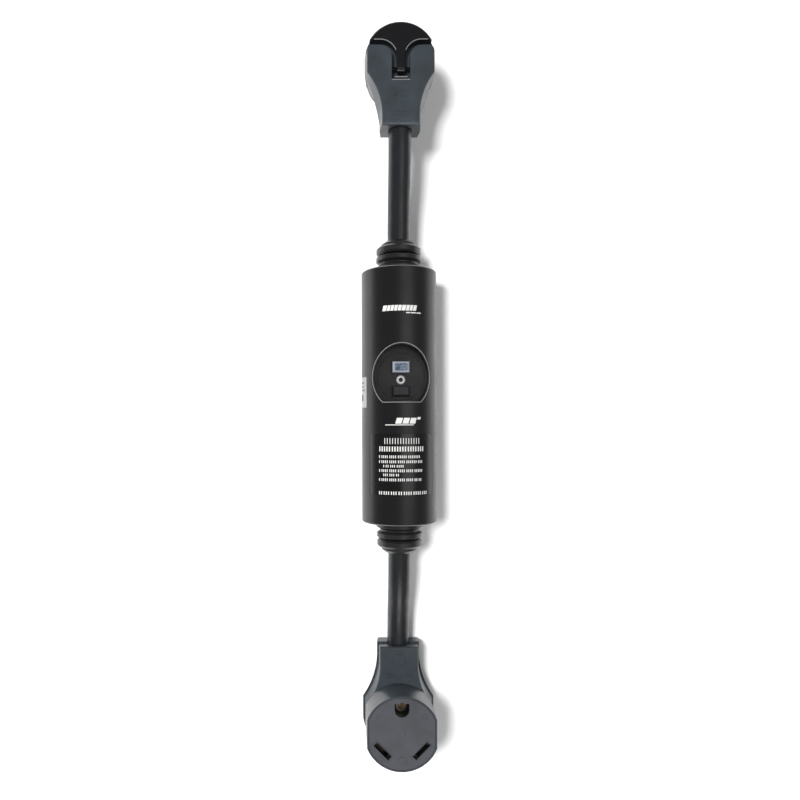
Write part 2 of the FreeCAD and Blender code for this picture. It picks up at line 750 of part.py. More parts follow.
def button(name):
    """A push button with a retaining lip, and the plunger under it."""
    centre = f"dim.{name}_centre"
    half = f"dim.{name}_depth / 2"
    lip_top = f"{PANEL_UNDER} - dim.clearance"
    lip_low = f"{lip_top} - dim.button_lip"
    top = "dim.panel_floor_level + dim.button_rise"
    cap = new_body(f"{name}_cap")
    outline = draw(cap, f"{name}_cap_outline", "XY_Plane", [
        ("0 - dim.button_width / 2", f"{centre} - {half}"), ("dim.button_width / 2", f"{centre} - {half}"),
        ("dim.button_width / 2", f"{centre} + {half}"), ("0 - dim.button_width / 2", f"{centre} + {half}"),
    ], lip_low)
    pad = cap.newObject("PartDesign::Pad", f"{name}_cap_pad")
    pad.Profile = outline
    bind(pad, Length=f"{top} - ({lip_low})")
    doc.recompute()
    edges = [
        f"Edge{number}" for number, edge in enumerate(pad.Shape.Edges, start=1)
        if min(vertex.Z for vertex in edge.Vertexes) > value(top) - 0.01
    ]
    bevel = cap.newObject("PartDesign::Chamfer", f"{name}_cap_bevel")
    bevel.Base = (pad, edges)
    bind(bevel, Size="dim.button_chamfer")
    lip = "dim.button_lip"
    flange = box(
        f"{name}_lip", (f"0 - dim.button_width / 2 - {lip}", f"dim.button_width / 2 + {lip}"),
        (f"{centre} - {half} - {lip}", f"{centre} + {half} + {lip}"), (lip_low, lip_top))
    reach = f"{SWITCH_TOP} + dim.button_travel + 0.5"
    plunger = rod(f"{name}_plunger", "dim.plunger_radius", reach, lip_low, "Z", ("0", centre))
    piece(join(f"{name}_solid", cap, flange, plunger), f"{name}_button")

    side = "dim.switch_side / 2"
    base = box(f"{name}_switch_base", (f"0 - {side}", side), (f"{centre} - {side}", f"{centre} + {side}"),
               (BOARD_TOP, SWITCH_TOP))
    tip = rod(f"{name}_switch_tip", "1.2", SWITCH_TOP, f"{SWITCH_TOP} + 0.4", "Z", ("0", centre))
    piece(join(f"{name}_contact", base, tip), f"{name}_switch")

    wire = value("dim.spring_wire")
    low = value(SWITCH_TOP) + wire * 0.55
    high = value(lip_low) - wire * 0.55
    rise = high - low
    coil = Part.makeLongHelix(rise / value("dim.spring_turns"), rise, value("dim.spring_radius"))
    section = Part.Wire(Part.makeCircle(wire / 2, Vector(value("dim.spring_radius"), 0, 0), Vector(0, 1, 0)))
    item = shaped(f"{name}_coil", Part.Wire(coil.Edges).makePipeShell([section], True, True))
    item.Placement = FreeCAD.Placement(Vector(0, value(centre), low), FreeCAD.Rotation())
    piece(item, f"{name}_spring")


# ---------------------------------------------------------------- electronics
def electronics():
    end = "dim.board_end"
    start = f"(0 - {CAP_BACK} + 19)"
    wide = "dim.board_half_width"
    rail_low = "dim.board_level - 5"
    rail_in = f"{wide} - 5"
    screw_at = [(f"{sign}({wide} - 2.6)", y) for sign in ("", "0 - ") for y in (f"{start} + 5", f"{end} - 5")]
    board = box("board_blank", (f"0 - {wide}", wide), (start, end), ("dim.board_level", BOARD_TOP))
    holes = [
        rod(f"board_hole{number}", "dim.screw_radius + dim.clearance", "dim.board_level - 1",
            f"{BOARD_TOP} + 1", "Z", at) for number, at in enumerate(screw_at)
    ]
    piece(cut("board", board, *holes), "circuit_board")

    ring_out = f"{BORE} - dim.clearance * 2"
    ring_in = "dim.locknut_radius + 1"
    near = f"{CAP_BACK} - dim.clearance"
    rings = []
    for number, span in enumerate(((f"{near} - 8", near), (f"0 - ({near})", f"8 - ({near})"))):
        rings.append(cut(
            f"carrier_ring{number}",
            rod(f"carrier_ring_out{number}", ring_out, *span, "Y", ("0", AXIS)),
            rod(f"carrier_ring_in{number}", ring_in, f"{span[0]} - 1", f"{span[1]} + 1", "Y", ("0", AXIS))))
    rails = [
        box(f"carrier_rail{number}", span, (f"1 - ({near})", f"{near} - 1"),
            (rail_low, f"dim.board_level - dim.clearance / 2"))
        for number, span in enumerate(((rail_in, wide), (f"0 - {wide}", f"0 - ({rail_in})")))
    ]
    taps = [
        rod(f"carrier_tap{number}", "dim.screw_radius + dim.clearance / 3", rail_low, f"dim.board_level + 1",
            "Z", at) for number, at in enumerate(screw_at)
    ]
    tap_low = f"{CAP_FACE} - dim.cap_screw_length - 1"
    for number, sign in enumerate(("", "0 - ")):
        at = (f"{sign}dim.cap_screw_offset", AXIS)
        radius = "dim.screw_radius + dim.clearance / 3"
        taps.append(rod(f"carrier_end_tap{number}", radius, tap_low, f"{near} + 1", "Y", at))
        taps.append(rod(f"carrier_far_tap{number}", radius, f"0 - ({near}) - 1", f"0 - ({tap_low})", "Y", at))
    piece(cut("carrier", join("carrier_blank", *rings, *rails), *taps), "board_carrier")

    screws = [
        screw(f"board_screw{number}", "dim.screw_radius", "dim.screw_head_radius", f"{rail_low} + 0.6",
              f"{BOARD_TOP} + dim.screw_head_height", at, "Z", head_at_low=False)
        for number, at in enumerate(screw_at)
    ]
    piece(join("board_fixings", *screws), "board_screws")

    relay_start = f"{start} + dim.relay_setback"
    relay = box("relay_case", ("0 - dim.relay_half_width", "dim.relay_half_width"),
                (relay_start, f"{relay_start} + dim.relay_length"),
                (BOARD_TOP, f"{BOARD_TOP} + dim.relay_height"))
    piece(relay, "power_relay")
    disc_starts = [f"{start} + dim.varistor_place + {number} * dim.varistor_pitch" for number in range(3)]
    discs = [
        rod(f"varistor{number}", "dim.varistor_radius", disc_start, f"{disc_start} + dim.varistor_thickness",
            "Y", ("0", f"{BOARD_TOP} + dim.varistor_rise")) for number, disc_start in enumerate(disc_starts)
    ]
    foot_starts = [f"{disc_start} + dim.varistor_foot_setback" for disc_start in disc_starts]
    feet = [
        box(f"varistor_foot{number}", ("0 - dim.varistor_foot_half_width", "dim.varistor_foot_half_width"),
            (foot_start, f"{foot_start} + dim.varistor_foot_thickness"),
            (BOARD_TOP, f"{BOARD_TOP} + dim.varistor_foot_height"))
        for number, foot_start in enumerate(foot_starts)
    ]
    piece(join("varistors", *discs, *feet), "surge_varistors")
    fuse_start = f"{start} + dim.fuse_place"
    fuse_at = ("dim.fuse_side", f"{BOARD_TOP} + dim.fuse_rise")
    piece(rod("fuse", "dim.fuse_radius", fuse_start, f"{fuse_start} + dim.fuse_length", "Y", fuse_at),
          "thermal_fuse")
    chip_end = f"{end} - dim.chip_setback"
    piece(box("chip", ("0 - dim.chip_half_width", "dim.chip_half_width"),
              (f"{chip_end} - dim.chip_length", chip_end), (BOARD_TOP, f"{BOARD_TOP} + dim.chip_height")),
          "controller_chip")
    sensor_low = f"{end} + dim.sensor_gap"
    sensor_high = f"{sensor_low} + dim.sensor_length"
    piece(cut(
        "sensor", rod("sensor_out", "dim.sensor_radius", sensor_low, sensor_high, "Y", ("0", AXIS)),
        rod("sensor_in", "dim.sensor_bore", f"{sensor_low} - 1", f"{sensor_high} + 1", "Y", ("0", AXIS))),
        "current_sensor")

    for side, sign in (("line", ""), ("load", "0 - ")):
        blocks = []
        for number, place_x in enumerate(("0 - dim.terminal_pitch", "0", "dim.terminal_pitch")):
            blocks.append(terminal(f"{side}_terminal{number}", place_x, side))
        piece(join(f"{side}_block", *blocks), f"{side}_terminals")


def terminal(name, x, side):
    """A wire terminal under the board, with its clamping screw below."""
    half = "dim.terminal_side / 2"
    low_y = "dim.terminal_place" if side == "line" else "0 - dim.terminal_place - dim.terminal_length"
    high_y = f"{low_y} + dim.terminal_length"
    top = "dim.board_level - dim.clearance / 2"
    low = f"{top} - dim.terminal_side"
    level = f"{top} - dim.terminal_side / 2"
    block = box(f"{name}_block", (f"{x} - {half}", f"{x} + {half}"), (low_y, high_y), (low, top))
    entry = rod(f"{name}_entry", "dim.lead_diameter / 2 + dim.clearance", f"{low_y} + 2" if side == "line"
                else f"{low_y} - 1", f"{high_y} + 1" if side == "line" else f"{high_y} - 2", "Y", (x, level))
    middle = f"{low_y} + dim.terminal_length / 2"
    head = rod(f"{name}_screw", "1.8", f"{low} - 1", f"{low} + 1", "Z", (x, middle))
    return join(name, cut(f"{name}_body", block, entry), head)


def housing_leads():
    """Three insulated leads from each cable's end to its terminals."""
    radius = value("dim.lead_diameter / 2")
    spread = value("dim.lead_spread")
    axis = value(AXIS)
    wire_level = value("dim.board_level - dim.clearance / 2 - dim.terminal_side / 2")
    start = value(f"{GLAND_FACE} - dim.cable_end * 0.55 - dim.clearance")
    inner = value("dim.terminal_place + dim.terminal_length - 4")
    bend = value("dim.board_end + 2")
    neck = value("dim.board_end + 18")
    pitch = value("dim.terminal_pitch")
    for side, turn in (("line", 1), ("load", -1)):
        wires = []
        for sign in (-1, 0, 1):
            rise = -1.9 if sign else 3.2
            route = [
                (sign * spread, turn * start, axis + rise),
                (sign * spread * 0.97, turn * neck, axis + rise * 0.9),
                (sign * spread * 1.05, turn * bend, axis + rise * 0.5),
                (sign * pitch, turn * (bend - 9.5), wire_level - 0.1),
                (sign * pitch, turn * inner, wire_level),
            ]
            if not sign:
                route = [route[0], route[1], (0, turn * (bend - 4), wire_level - 0.2), route[4]]
            wires.append(tube(route, radius)[0])
        piece(shaped(f"{side}_wires", Part.makeCompound(wires)), f"{side}_leads")


# ---------------------------------------------------------------- plug and connector heads
def paddle(head, face=False, shrink="0"):
    """Outline of a head from above: a neck that widens to a round end with flat sides."""
    kind = "face_" if face else ""
    neck = f"dim.{head}_neck_{kind}half_width - ({shrink})"
    wide = f"dim.{head}_{kind}half_width - ({shrink})"
    waist = f"dim.{head}_{kind}waist"
    shoulder = f"dim.{head}_{kind}shoulder"
    radius = f"dim.{head}_radius - ({shrink})"
    taper = f"dim.{head}_{kind}taper_radius"
    crown = f"dim.{head}_centre + sqrt(({radius}) ^ 2 - ({wide}) ^ 2)"
    return [
        (f"0 - ({neck})", shrink),
        (neck, shrink),
        (neck, waist, (taper, -1)),
        (wide, shoulder),
        (wide, crown, (radius, 1)),
        (f"0 - ({wide})", crown),
        (f"0 - ({wide})", shoulder, (taper, -1)),
        (f"0 - ({neck})", waist),
    ]


def set_head(item, head, label):
    """Move a piece from the head's own frame to its place.

    The head's frame has its origin on the cable's axis at the end of the neck,
    y towards the round end and z towards the back.
    """
    if head == "plug":
        return piece(place(item, "0", "dim.plug_neck_place", PLUG_AXIS), label)
    return piece(
        place(item, "0", "0 - dim.connector_neck_place", "dim.connector_half_depth", (1, 0, 0), 180), label)


def flat_disc(name, head, radius, half_width, low, high):
    """A disc about the head's centre with its two sides cut flat."""
    disc = rod(f"{name}_disc", radius, low, high, "Z", ("0", f"dim.{head}_centre"))
    slab = box(f"{name}_slab", (f"0 - ({half_width})", half_width),
               (f"dim.{head}_centre - 60", f"dim.{head}_centre + 60"), (low, high))
    return overlap(name, disc, slab)


def cover_screw_places(head):
    centre = f"dim.{head}_centre"
    return [
        ("dim.cover_screw_side", f"{centre} - dim.cover_screw_setback"),
        ("0 - dim.cover_screw_side", f"{centre} - dim.cover_screw_setback"),
        ("0", f"{centre} + dim.cover_screw_end"),
    ]


def cable_room(name, head):
    """What both half shells leave free for the cable and its clamp."""
    near = "dim.clamp_place - dim.clearance"
    far = "dim.clamp_place + dim.clamp_width + dim.clearance"
    reach = "(dim.clamp_reach + dim.clearance)"
    return [
        rod(f"{name}_bore", f"{CABLE} + dim.clearance", "0 - 1", "22", "Y"),
        rod(f"{name}_arch", f"{CABLE} + dim.clamp_wall + dim.clearance", near, far, "Y"),
        box(f"{name}_ears", (f"0 - {reach}", reach), (near, far), ("0", "dim.clamp_ear + dim.clearance")),
    ]


def head_shells(head):
    depth = f"dim.{head}_half_depth"
    wall = "dim.shell_wall"
    centre = f"dim.{head}_centre"
    tap = "dim.screw_radius + dim.clearance / 3"
    pass_hole = "dim.screw_radius + dim.clearance"
    sink = "dim.screw_head_radius + dim.clearance"
    places = cover_screw_places(head)

    # back half
    blank = half_shell(f"{head}_back_blank", head, "")
    roof = "dim.cover_cavity" if head == "plug" else "dim.connector_half_depth - dim.shell_wall"
    cavity = padded(f"{head}_back_cavity", "XY_Plane", paddle(head, True, wall), f"{roof} + 1",
                    offset="0 - 1")
    start_box = box(f"{head}_back_cavity_start", ("0 - 40", "40"), ("20", "120"), ("0 - 2", "20"))
    hollow = overlap(f"{head}_back_hollow", cavity, start_box)
    posts = [
        rod(f"{head}_back_post{number}", "dim.screw_radius + dim.boss_wall", "0", roof, "Z", at)
        for number, at in enumerate(places)
    ]
    cutters = [cut(f"{head}_back_room", hollow, *posts)] + cable_room(f"{head}_back", head)
    if head == "plug":
        cutters += [rod(f"plug_back_tap{number}", tap, "0 - 1", "4.6", "Z", at)
                    for number, at in enumerate(places)]
        cutters += handle_recess()
    else:
        for number, at in enumerate(places):
            cutters.append(rod(f"connector_back_hole{number}", pass_hole, "0 - 1", f"{depth} + 1", "Z", at))
            cutters.append(rod(f"connector_back_sink{number}", sink, f"{depth} - dim.screw_head_height - 0.6",
                               f"{depth} + 1", "Z", at))
    set_head(cut(f"{head}_back", blank, *cutters), head, f"{head}_back_cover")

    # front half
    leaning = half_shell(f"{head}_front_blank", head, "0 - ")
    low_cavity = padded(f"{head}_front_cavity", "XY_Plane", paddle(head, True, wall),
                        "dim.body_cavity + 1", offset="0 - dim.body_cavity")
    front_box = box(f"{head}_front_cavity_start", ("0 - 40", "40"), ("20", "120"),
                    ("0 - dim.body_cavity - 1", "2"))
    front_hollow = overlap(f"{head}_front_hollow", low_cavity, front_box)
    clamp_screws = [
        rod(f"{head}_clamp_tap{number}", "dim.clamp_screw_radius + dim.clearance / 3", "0 - 9", "1", "Z",
            (f"{sign}dim.clamp_screw_offset", "dim.clamp_place + dim.clamp_width / 2"))
        for number, sign in enumerate(("", "0 - "))
    ]
    front_posts = [
        rod(f"{head}_front_post{number}", "dim.screw_radius + dim.boss_wall", "0 - dim.body_cavity", "0",
            "Z", at) for number, at in enumerate(places)
    ]
    room = cut(f"{head}_front_room", front_hollow, *front_posts)
    bore = rod(f"{head}_front_bore", f"{CABLE} + dim.clearance", "0 - 1", "22", "Y")
    cutters = [room, bore] + clamp_screws
    if head == "plug":
        nose = flat_disc("nose", head, "dim.nose_radius", "dim.nose_radius - 0.9",
                         f"0 - {depth} - dim.nose_depth", f"1 - {depth}")
        solid = join("plug_front_blank_all", leaning, nose)
        for number, at in enumerate(places):
            cutters.append(rod(f"plug_front_hole{number}", pass_hole, "0 - 40", "1", "Z", at))
            low = f"0 - {depth} - dim.nose_depth"
            cutters.append(rod(f"plug_front_sink{number}", sink, f"{low} - 1",
                               f"{low} + dim.screw_head_height + 0.6", "Z", at))
        cutters += blade_slots("plug_nose", "dim.blade_width + dim.clearance * 2",
                               "dim.blade_thickness + dim.clearance * 2", head, "0 - 40", "0 - 1")
        ground_at = ("0", f"{centre} - dim.ground_back")
        cutters.append(rod("plug_ground_hole", "dim.pin_shank_radius + dim.clearance", "0 - 40", "0 - 1", "Z",
                           ground_at))
        cutters.append(rod("plug_ground_mouth", "dim.pin_radius + dim.clearance", f"{low} - 1",
                           f"{low} + dim.pin_mouth_depth", "Z", ground_at))
    else:
        top = f"0 - {depth} - dim.boss_height"
        boss = flat_disc("boss", head, "dim.boss_radius", "dim.boss_half_width", top, f"1 - {depth}")
        solid = join("connector_front_blank_all", leaning, boss)
        grow = "dim.clearance"
        cutters.append(flat_disc("face_seat", head, "dim.boss_radius - dim.face_rim",
                                 "dim.boss_half_width - dim.face_rim", f"{top} - 1",
                                 f"{top} + dim.face_thickness"))
        core_end = f"{top} + dim.face_thickness + dim.core_depth + dim.clearance"
        cutters.append(flat_disc("core_seat", head, f"dim.core_radius + {grow}",
                                 f"dim.core_half_width + {grow}", f"{top} - 1", core_end))
        cutters.append(cut(
            "boss_room_left",
            flat_disc("boss_room", head, "dim.core_radius", "dim.core_half_width",
                      f"{core_end} + dim.core_floor", "0 - dim.body_cavity + 0.5"),
            *[rod(f"boss_post{number}", "dim.screw_radius + dim.boss_wall", "0 - 30", "0", "Z", at)
              for number, at in enumerate(places)]))
        cutters += blade_slots("tab_slot", "4.6", "4.2", head, f"{core_end} - 1", "0 - dim.body_cavity")
        cutters.append(rod("ground_tab_slot", "2.4", f"{core_end} - 1", "0 - dim.body_cavity", "Z",
                           ("0", f"{centre} - dim.ground_back")))
        for number, at in enumerate(places):
            cutters.append(rod(f"connector_front_tap{number}", tap, "0 - 8", "1", "Z", at))
    set_head(cut(f"{head}_front", solid, *cutters), head, f"{head}_front_body")


def half_shell(name, head, sign):
    """Half of a head: it leans in from the parting plane and ends in a rounded edge."""
    depth = f"dim.{head}_half_depth"
    rounding = "dim.edge_rounding"
    stepped = head == "connector" and sign
    ledge = "dim.connector_ledge" if stepped else "0"
    lean = "dim.connector_face_ledge" if stepped else "0"
    sections = [(paddle(head, False, ledge), "0")]
    for angle in (0, 30, 60, 90):
        shrink = f"{lean} + {rounding} * (1 - cos({angle}))"
        level = f"{sign}({depth} - {rounding} * (1 - sin({angle})))"
        sections.append((paddle(head, True, shrink), level))
    return lofted(name, sections)


def blade_slots(name, width, thickness, head, low, high):
    """Two upright slots at 45 degrees, one on each side of the head."""
    slots = []
    for number, sign in enumerate((1, -1)):
        block = doc.addObject("Part::Box", f"{name}_slot{number}")
        bind(block, Length=width, Width=thickness, Height=f"({high}) - ({low})")
        middle = "dim.blade_side" if sign > 0 else "0 - dim.blade_side"
        turn = FreeCAD.Rotation(Vector(0, 0, 1), -45 * sign)
        block.Placement = FreeCAD.Placement(Vector(), turn)
        lean = "cos(45) / 2"
        along = f"({width}) * {lean}"
        across = f"({thickness}) * {lean}"
        if sign > 0:
            x = f"{middle} - {along} - {across}"
            y = f"dim.{head}_centre + dim.blade_forward + {along} - {across}"
        else:
            x = f"{middle} - {along} + {across}"
            y = f"dim.{head}_centre + dim.blade_forward - {along} - {across}"
        for letter, formula in zip("xyz", (x, y, low)):
            block.setExpression(f"Placement.Base.{letter}", formula)
        slots.append(block)
    return slots


def handle_recess():
    """The hollow in the plug's back that the folded handle lies in, and its pin holes."""
    channel = "dim.channel_half_width"
    corner = "dim.pad_corner"
    edge = "dim.pad_edge"
    outer = "dim.pad_outer_corner"
    side = "dim.plug_face_half_width"
    beyond = "dim.plug_radius + 5"
    top = f"dim.plug_centre + {beyond}"
    floor = f"{HANDLE_FLOOR} - dim.handle_gap"
    outline = [
        (f"0 - {channel}", "dim.channel_end"),
        (channel, "dim.channel_end"),
        (channel, f"{edge} - {corner}", (corner, -1)),
        (f"{channel} + {corner}", edge),
        (f"{side} - {outer}", edge, (outer, -1)),
        (side, f"{edge} - {outer}"),
        (beyond, f"{edge} - {outer}"),
        (beyond, top),
        (f"0 - ({beyond})", top),
        (f"0 - ({beyond})", f"{edge} - {outer}"),
        (f"0 - ({side})", f"{edge} - {outer}", (outer, -1)),
        (f"0 - ({side}) + {outer}", edge),
        (f"0 - {channel} - {corner}", edge, (corner, -1)),
        (f"0 - {channel}", f"{edge} - {corner}"),
    ]
    recess = padded("handle_recess", "XY_Plane", outline, "dim.handle_thickness + 2", offset=floor)
    reach = "(dim.handle_pin_half_length + dim.clearance)"
    hole = rod("handle_pin_hole", "dim.handle_pin_radius + dim.clearance / 3", f"0 - {reach}", reach, "X",
               ("dim.handle_pin_place", HANDLE_PIN_LEVEL))
    rib = box("channel_rib", ("0 - dim.channel_rib_half_length", "dim.channel_rib_half_length"),
              ("dim.channel_rib_place", "dim.channel_rib_place + dim.channel_rib_width"),
              (f"{floor} - 1", f"{floor} + dim.channel_rib_height"))
    return [cut("handle_recess_ribbed", recess, rib), hole]


def handle():
    """The T-shaped pull handle, lying flat in the plug's back."""
    stem = "dim.handle_stem_end"
    neck = "dim.handle_stem_top"
    bar = "dim.handle_bar_edge"
    sweep = "dim.handle_sweep"
    radius = "dim.plug_radius"
    drop = f"sqrt(({radius}) ^ 2 - ({bar} - dim.plug_centre) ^ 2)"
    outline = [
        (f"0 - {stem}", "dim.handle_pin_place"),
        (stem, "dim.handle_pin_place"),
        (neck, f"{bar} - {sweep}", (sweep, -1)),
        (f"{neck} + {sweep}", bar),
        (drop, bar, (radius, 1)),
        (f"0 - {drop}", bar),
        (f"0 - {neck} - {sweep}", bar, (sweep, -1)),
        (f"0 - {neck}", f"{bar} - {sweep}"),
    ]
    blade = padded("handle_blade", "XY_Plane", outline, "dim.handle_thickness", offset=HANDLE_FLOOR)
    doc.recompute()
    solid = blade.Tip
    top = value("dim.plug_half_depth")
    rim = [
        f"Edge{number}" for number, edge in enumerate(solid.Shape.Edges, start=1)
        if all(abs(vertex.Z - top) < 0.01 for vertex in edge.Vertexes)
        and isinstance(edge.Curve, Part.Circle) and abs(edge.Curve.Radius - value(radius)) < 0.01
    ]
    rounding = blade.newObject("PartDesign::Fillet", "handle_rounding")
    rounding.Base = (solid, rim)
    bind(rounding, Radius="dim.handle_rounding")
    doc.recompute()
    curved = rounding
    edges = [
        f"Edge{number}" for number, edge in enumerate(curved.Shape.Edges, start=1)
        if all(abs(vertex.Z - top) < 0.01 for vertex in edge.Vertexes)
        and isinstance(edge.Curve, Part.Circle) and abs(edge.Curve.Radius - value(sweep)) < 0.01
    ]
    softened = blade.newObject("PartDesign::Fillet", "handle_edge_softening")
    softened.Base = (curved, edges)
    bind(softened, Radius="dim.handle_edge_rounding")
    doc.recompute()
    pivot = ("dim.handle_pin_place", HANDLE_PIN_LEVEL)
    barrel = rod("handle_barrel", "dim.handle_thickness / 2", f"0 - {stem}", stem, "X", pivot)
    hole = rod("handle_hole", "dim.handle_pin_radius + dim.clearance", f"0 - {stem} - 5", f"{stem} + 5", "X",
               pivot)
    set_head(cut("handle", join("handle_blank", blade, barrel), hole), "plug", "plug_handle")
    reach = "dim.handle_pin_half_length"
    shaft = rod("handle_pin_shaft", "dim.handle_pin_radius", f"0.3 - {reach}", f"{reach} - 0.3", "X", pivot)
    nose = rod("handle_pin_nose", "dim.handle_pin_radius - 0.25", f"0 - {reach}", reach, "X", pivot)
    set_head(join("handle_pin", shaft, nose), "plug", "plug_handle_pin")


def head_fittings(head):
    """The cable clamp and all the screws of one head."""
    near = "dim.clamp_place"
    far = "dim.clamp_place + dim.clamp_width"
    outer = f"{CABLE} + dim.clamp_wall"
    arch = rod(f"{head}_clamp_arch", outer, near, far, "Y")
    ears = box(f"{head}_clamp_ears", ("0 - dim.clamp_reach", "dim.clamp_reach"), (near, far),
               ("dim.clamp_underside", "dim.clamp_ear"))
    under = box(f"{head}_clamp_under", ("0 - 30", "30"), (f"{near} - 1", f"{far} + 1"),
                ("0 - 30", "dim.clamp_underside"))
    bore = rod(f"{head}_clamp_bore", CABLE, f"{near} - 1", f"{far} + 1", "Y")
    middle = "dim.clamp_place + dim.clamp_width / 2"
    places = [(f"{sign}dim.clamp_screw_offset", middle) for sign in ("", "0 - ")]
    holes = [
        rod(f"{head}_clamp_hole{number}", "dim.clamp_screw_radius + dim.clearance", "0 - 1", "5", "Z", at)
        for number, at in enumerate(places)
    ]
    sinks = [
        rod(f"{head}_clamp_sink{number}", "dim.clamp_head_radius + dim.clearance",
            "dim.clamp_ear - dim.clamp_head_height - 0.1", "12", "Z", at) for number, at in enumerate(places)
    ]
    set_head(cut(f"{head}_clamp", join(f"{head}_clamp_blank", arch, ears), under, bore, *holes, *sinks), head,
             f"{head}_cable_clamp")

    screws = []
    for number, at in enumerate(places):
        seat = "dim.clamp_ear - dim.clamp_head_height"
        shank = rod(f"{head}_clamp_shank{number}", "dim.clamp_screw_radius", "0 - dim.clamp_screw_length",
                    seat, "Z", at)
        knob = rod(f"{head}_clamp_knob{number}", "dim.clamp_head_radius", seat, "dim.clamp_ear", "Z", at)
        screws.append(join(f"{head}_clamp_screw{number}", shank, knob))
    for number, at in enumerate(cover_screw_places(head)):
        if head == "plug":
            low = "0 - dim.plug_half_depth - dim.nose_depth + 0.4"
            high = "4.2"
        else:
            low = "0 - 7.6"
            high = "dim.connector_half_depth - 0.4"
        screws.append(screw(f"{head}_cover_screw{number}", "dim.screw_radius", "dim.screw_head_radius",
                            low, high, at, "Z", head_at_low=head == "plug"))
    set_head(join(f"{head}_fixings", *screws), head, f"{head}_screws")


# ---------------------------------------------------------------- blades and contacts
def turned(item, head, sign, label):
    """Set a piece made along its own x and z at a blade's place and angle."""
    turn = FreeCAD.Rotation(Vector(0, 0, 1), -45 * sign)
    side = "dim.blade_side" if sign > 0 else "0 - dim.blade_side"
    if head == "plug":
        item.Placement = FreeCAD.Placement(Vector(), turn)
        y = "dim.plug_neck_place + dim.plug_centre + dim.blade_forward"
        z = PLUG_AXIS
    else:
        item.Placement = FreeCAD.Placement(Vector(), FreeCAD.Rotation(Vector(1, 0, 0), 180).multiply(turn))
        y = "0 - dim.connector_neck_place - dim.connector_centre - dim.blade_forward"
        z = "dim.connector_half_depth"
    for letter, formula in zip("xyz", (side, y, z)):
        item.setExpression(f"Placement.Base.{letter}", formula)
    return piece(item, label)


def blades():
    root = "0 - dim.body_cavity + dim.root_depth"
    root_low = "0 - dim.body_cavity + dim.root_step"
    tip = "0 - dim.plug_half_depth - dim.nose_depth - dim.blade_reach"
    half = "dim.blade_width / 2"
    nick = "dim.blade_chamfer"
    for sign, name in ((1, "neutral"), (-1, "hot")):
        blade = padded(f"{name}_blade", "XZ_Plane", [
            (f"0 - {half}", root), (f"0 - {half}", f"{tip} + {nick} * 2"), (f"0 - {half} + {nick}", tip),
            (f"{half} - {nick}", tip), (half, f"{tip} + {nick} * 2"), (half, root),
        ], "dim.blade_thickness", symmetric=True)
        tab = box(f"{name}_blade_tab", ("0 - dim.tab_side / 2", "dim.tab_side / 2"),
                  ("0 - dim.tab_side", "0"), (root_low, root))
        turned(join(f"{name}_blade_whole", blade, tab), "plug", sign, f"plug_{name}_blade")

    end = "0 - dim.plug_half_depth - dim.nose_depth - dim.pin_reach"
    shoulder = "0 - dim.plug_half_depth - dim.nose_depth - dim.pin_shoulder_gap"
    pin = revolved("ground_pin", [
        ("0", end), ("dim.pin_radius - dim.pin_tip_chamfer", end),
        ("dim.pin_radius", f"{end} + dim.pin_tip_length"),
        ("dim.pin_radius", shoulder), ("dim.pin_shank_radius", shoulder), ("dim.pin_shank_radius", root_low),
        ("dim.pin_radius + dim.pin_collar", root_low), ("dim.pin_radius + dim.pin_collar", root), ("0", root),
    ], "XZ_Plane")
    piece(place(pin, "0", "dim.plug_neck_place + dim.plug_centre - dim.ground_back", PLUG_AXIS),
          "plug_ground_pin")


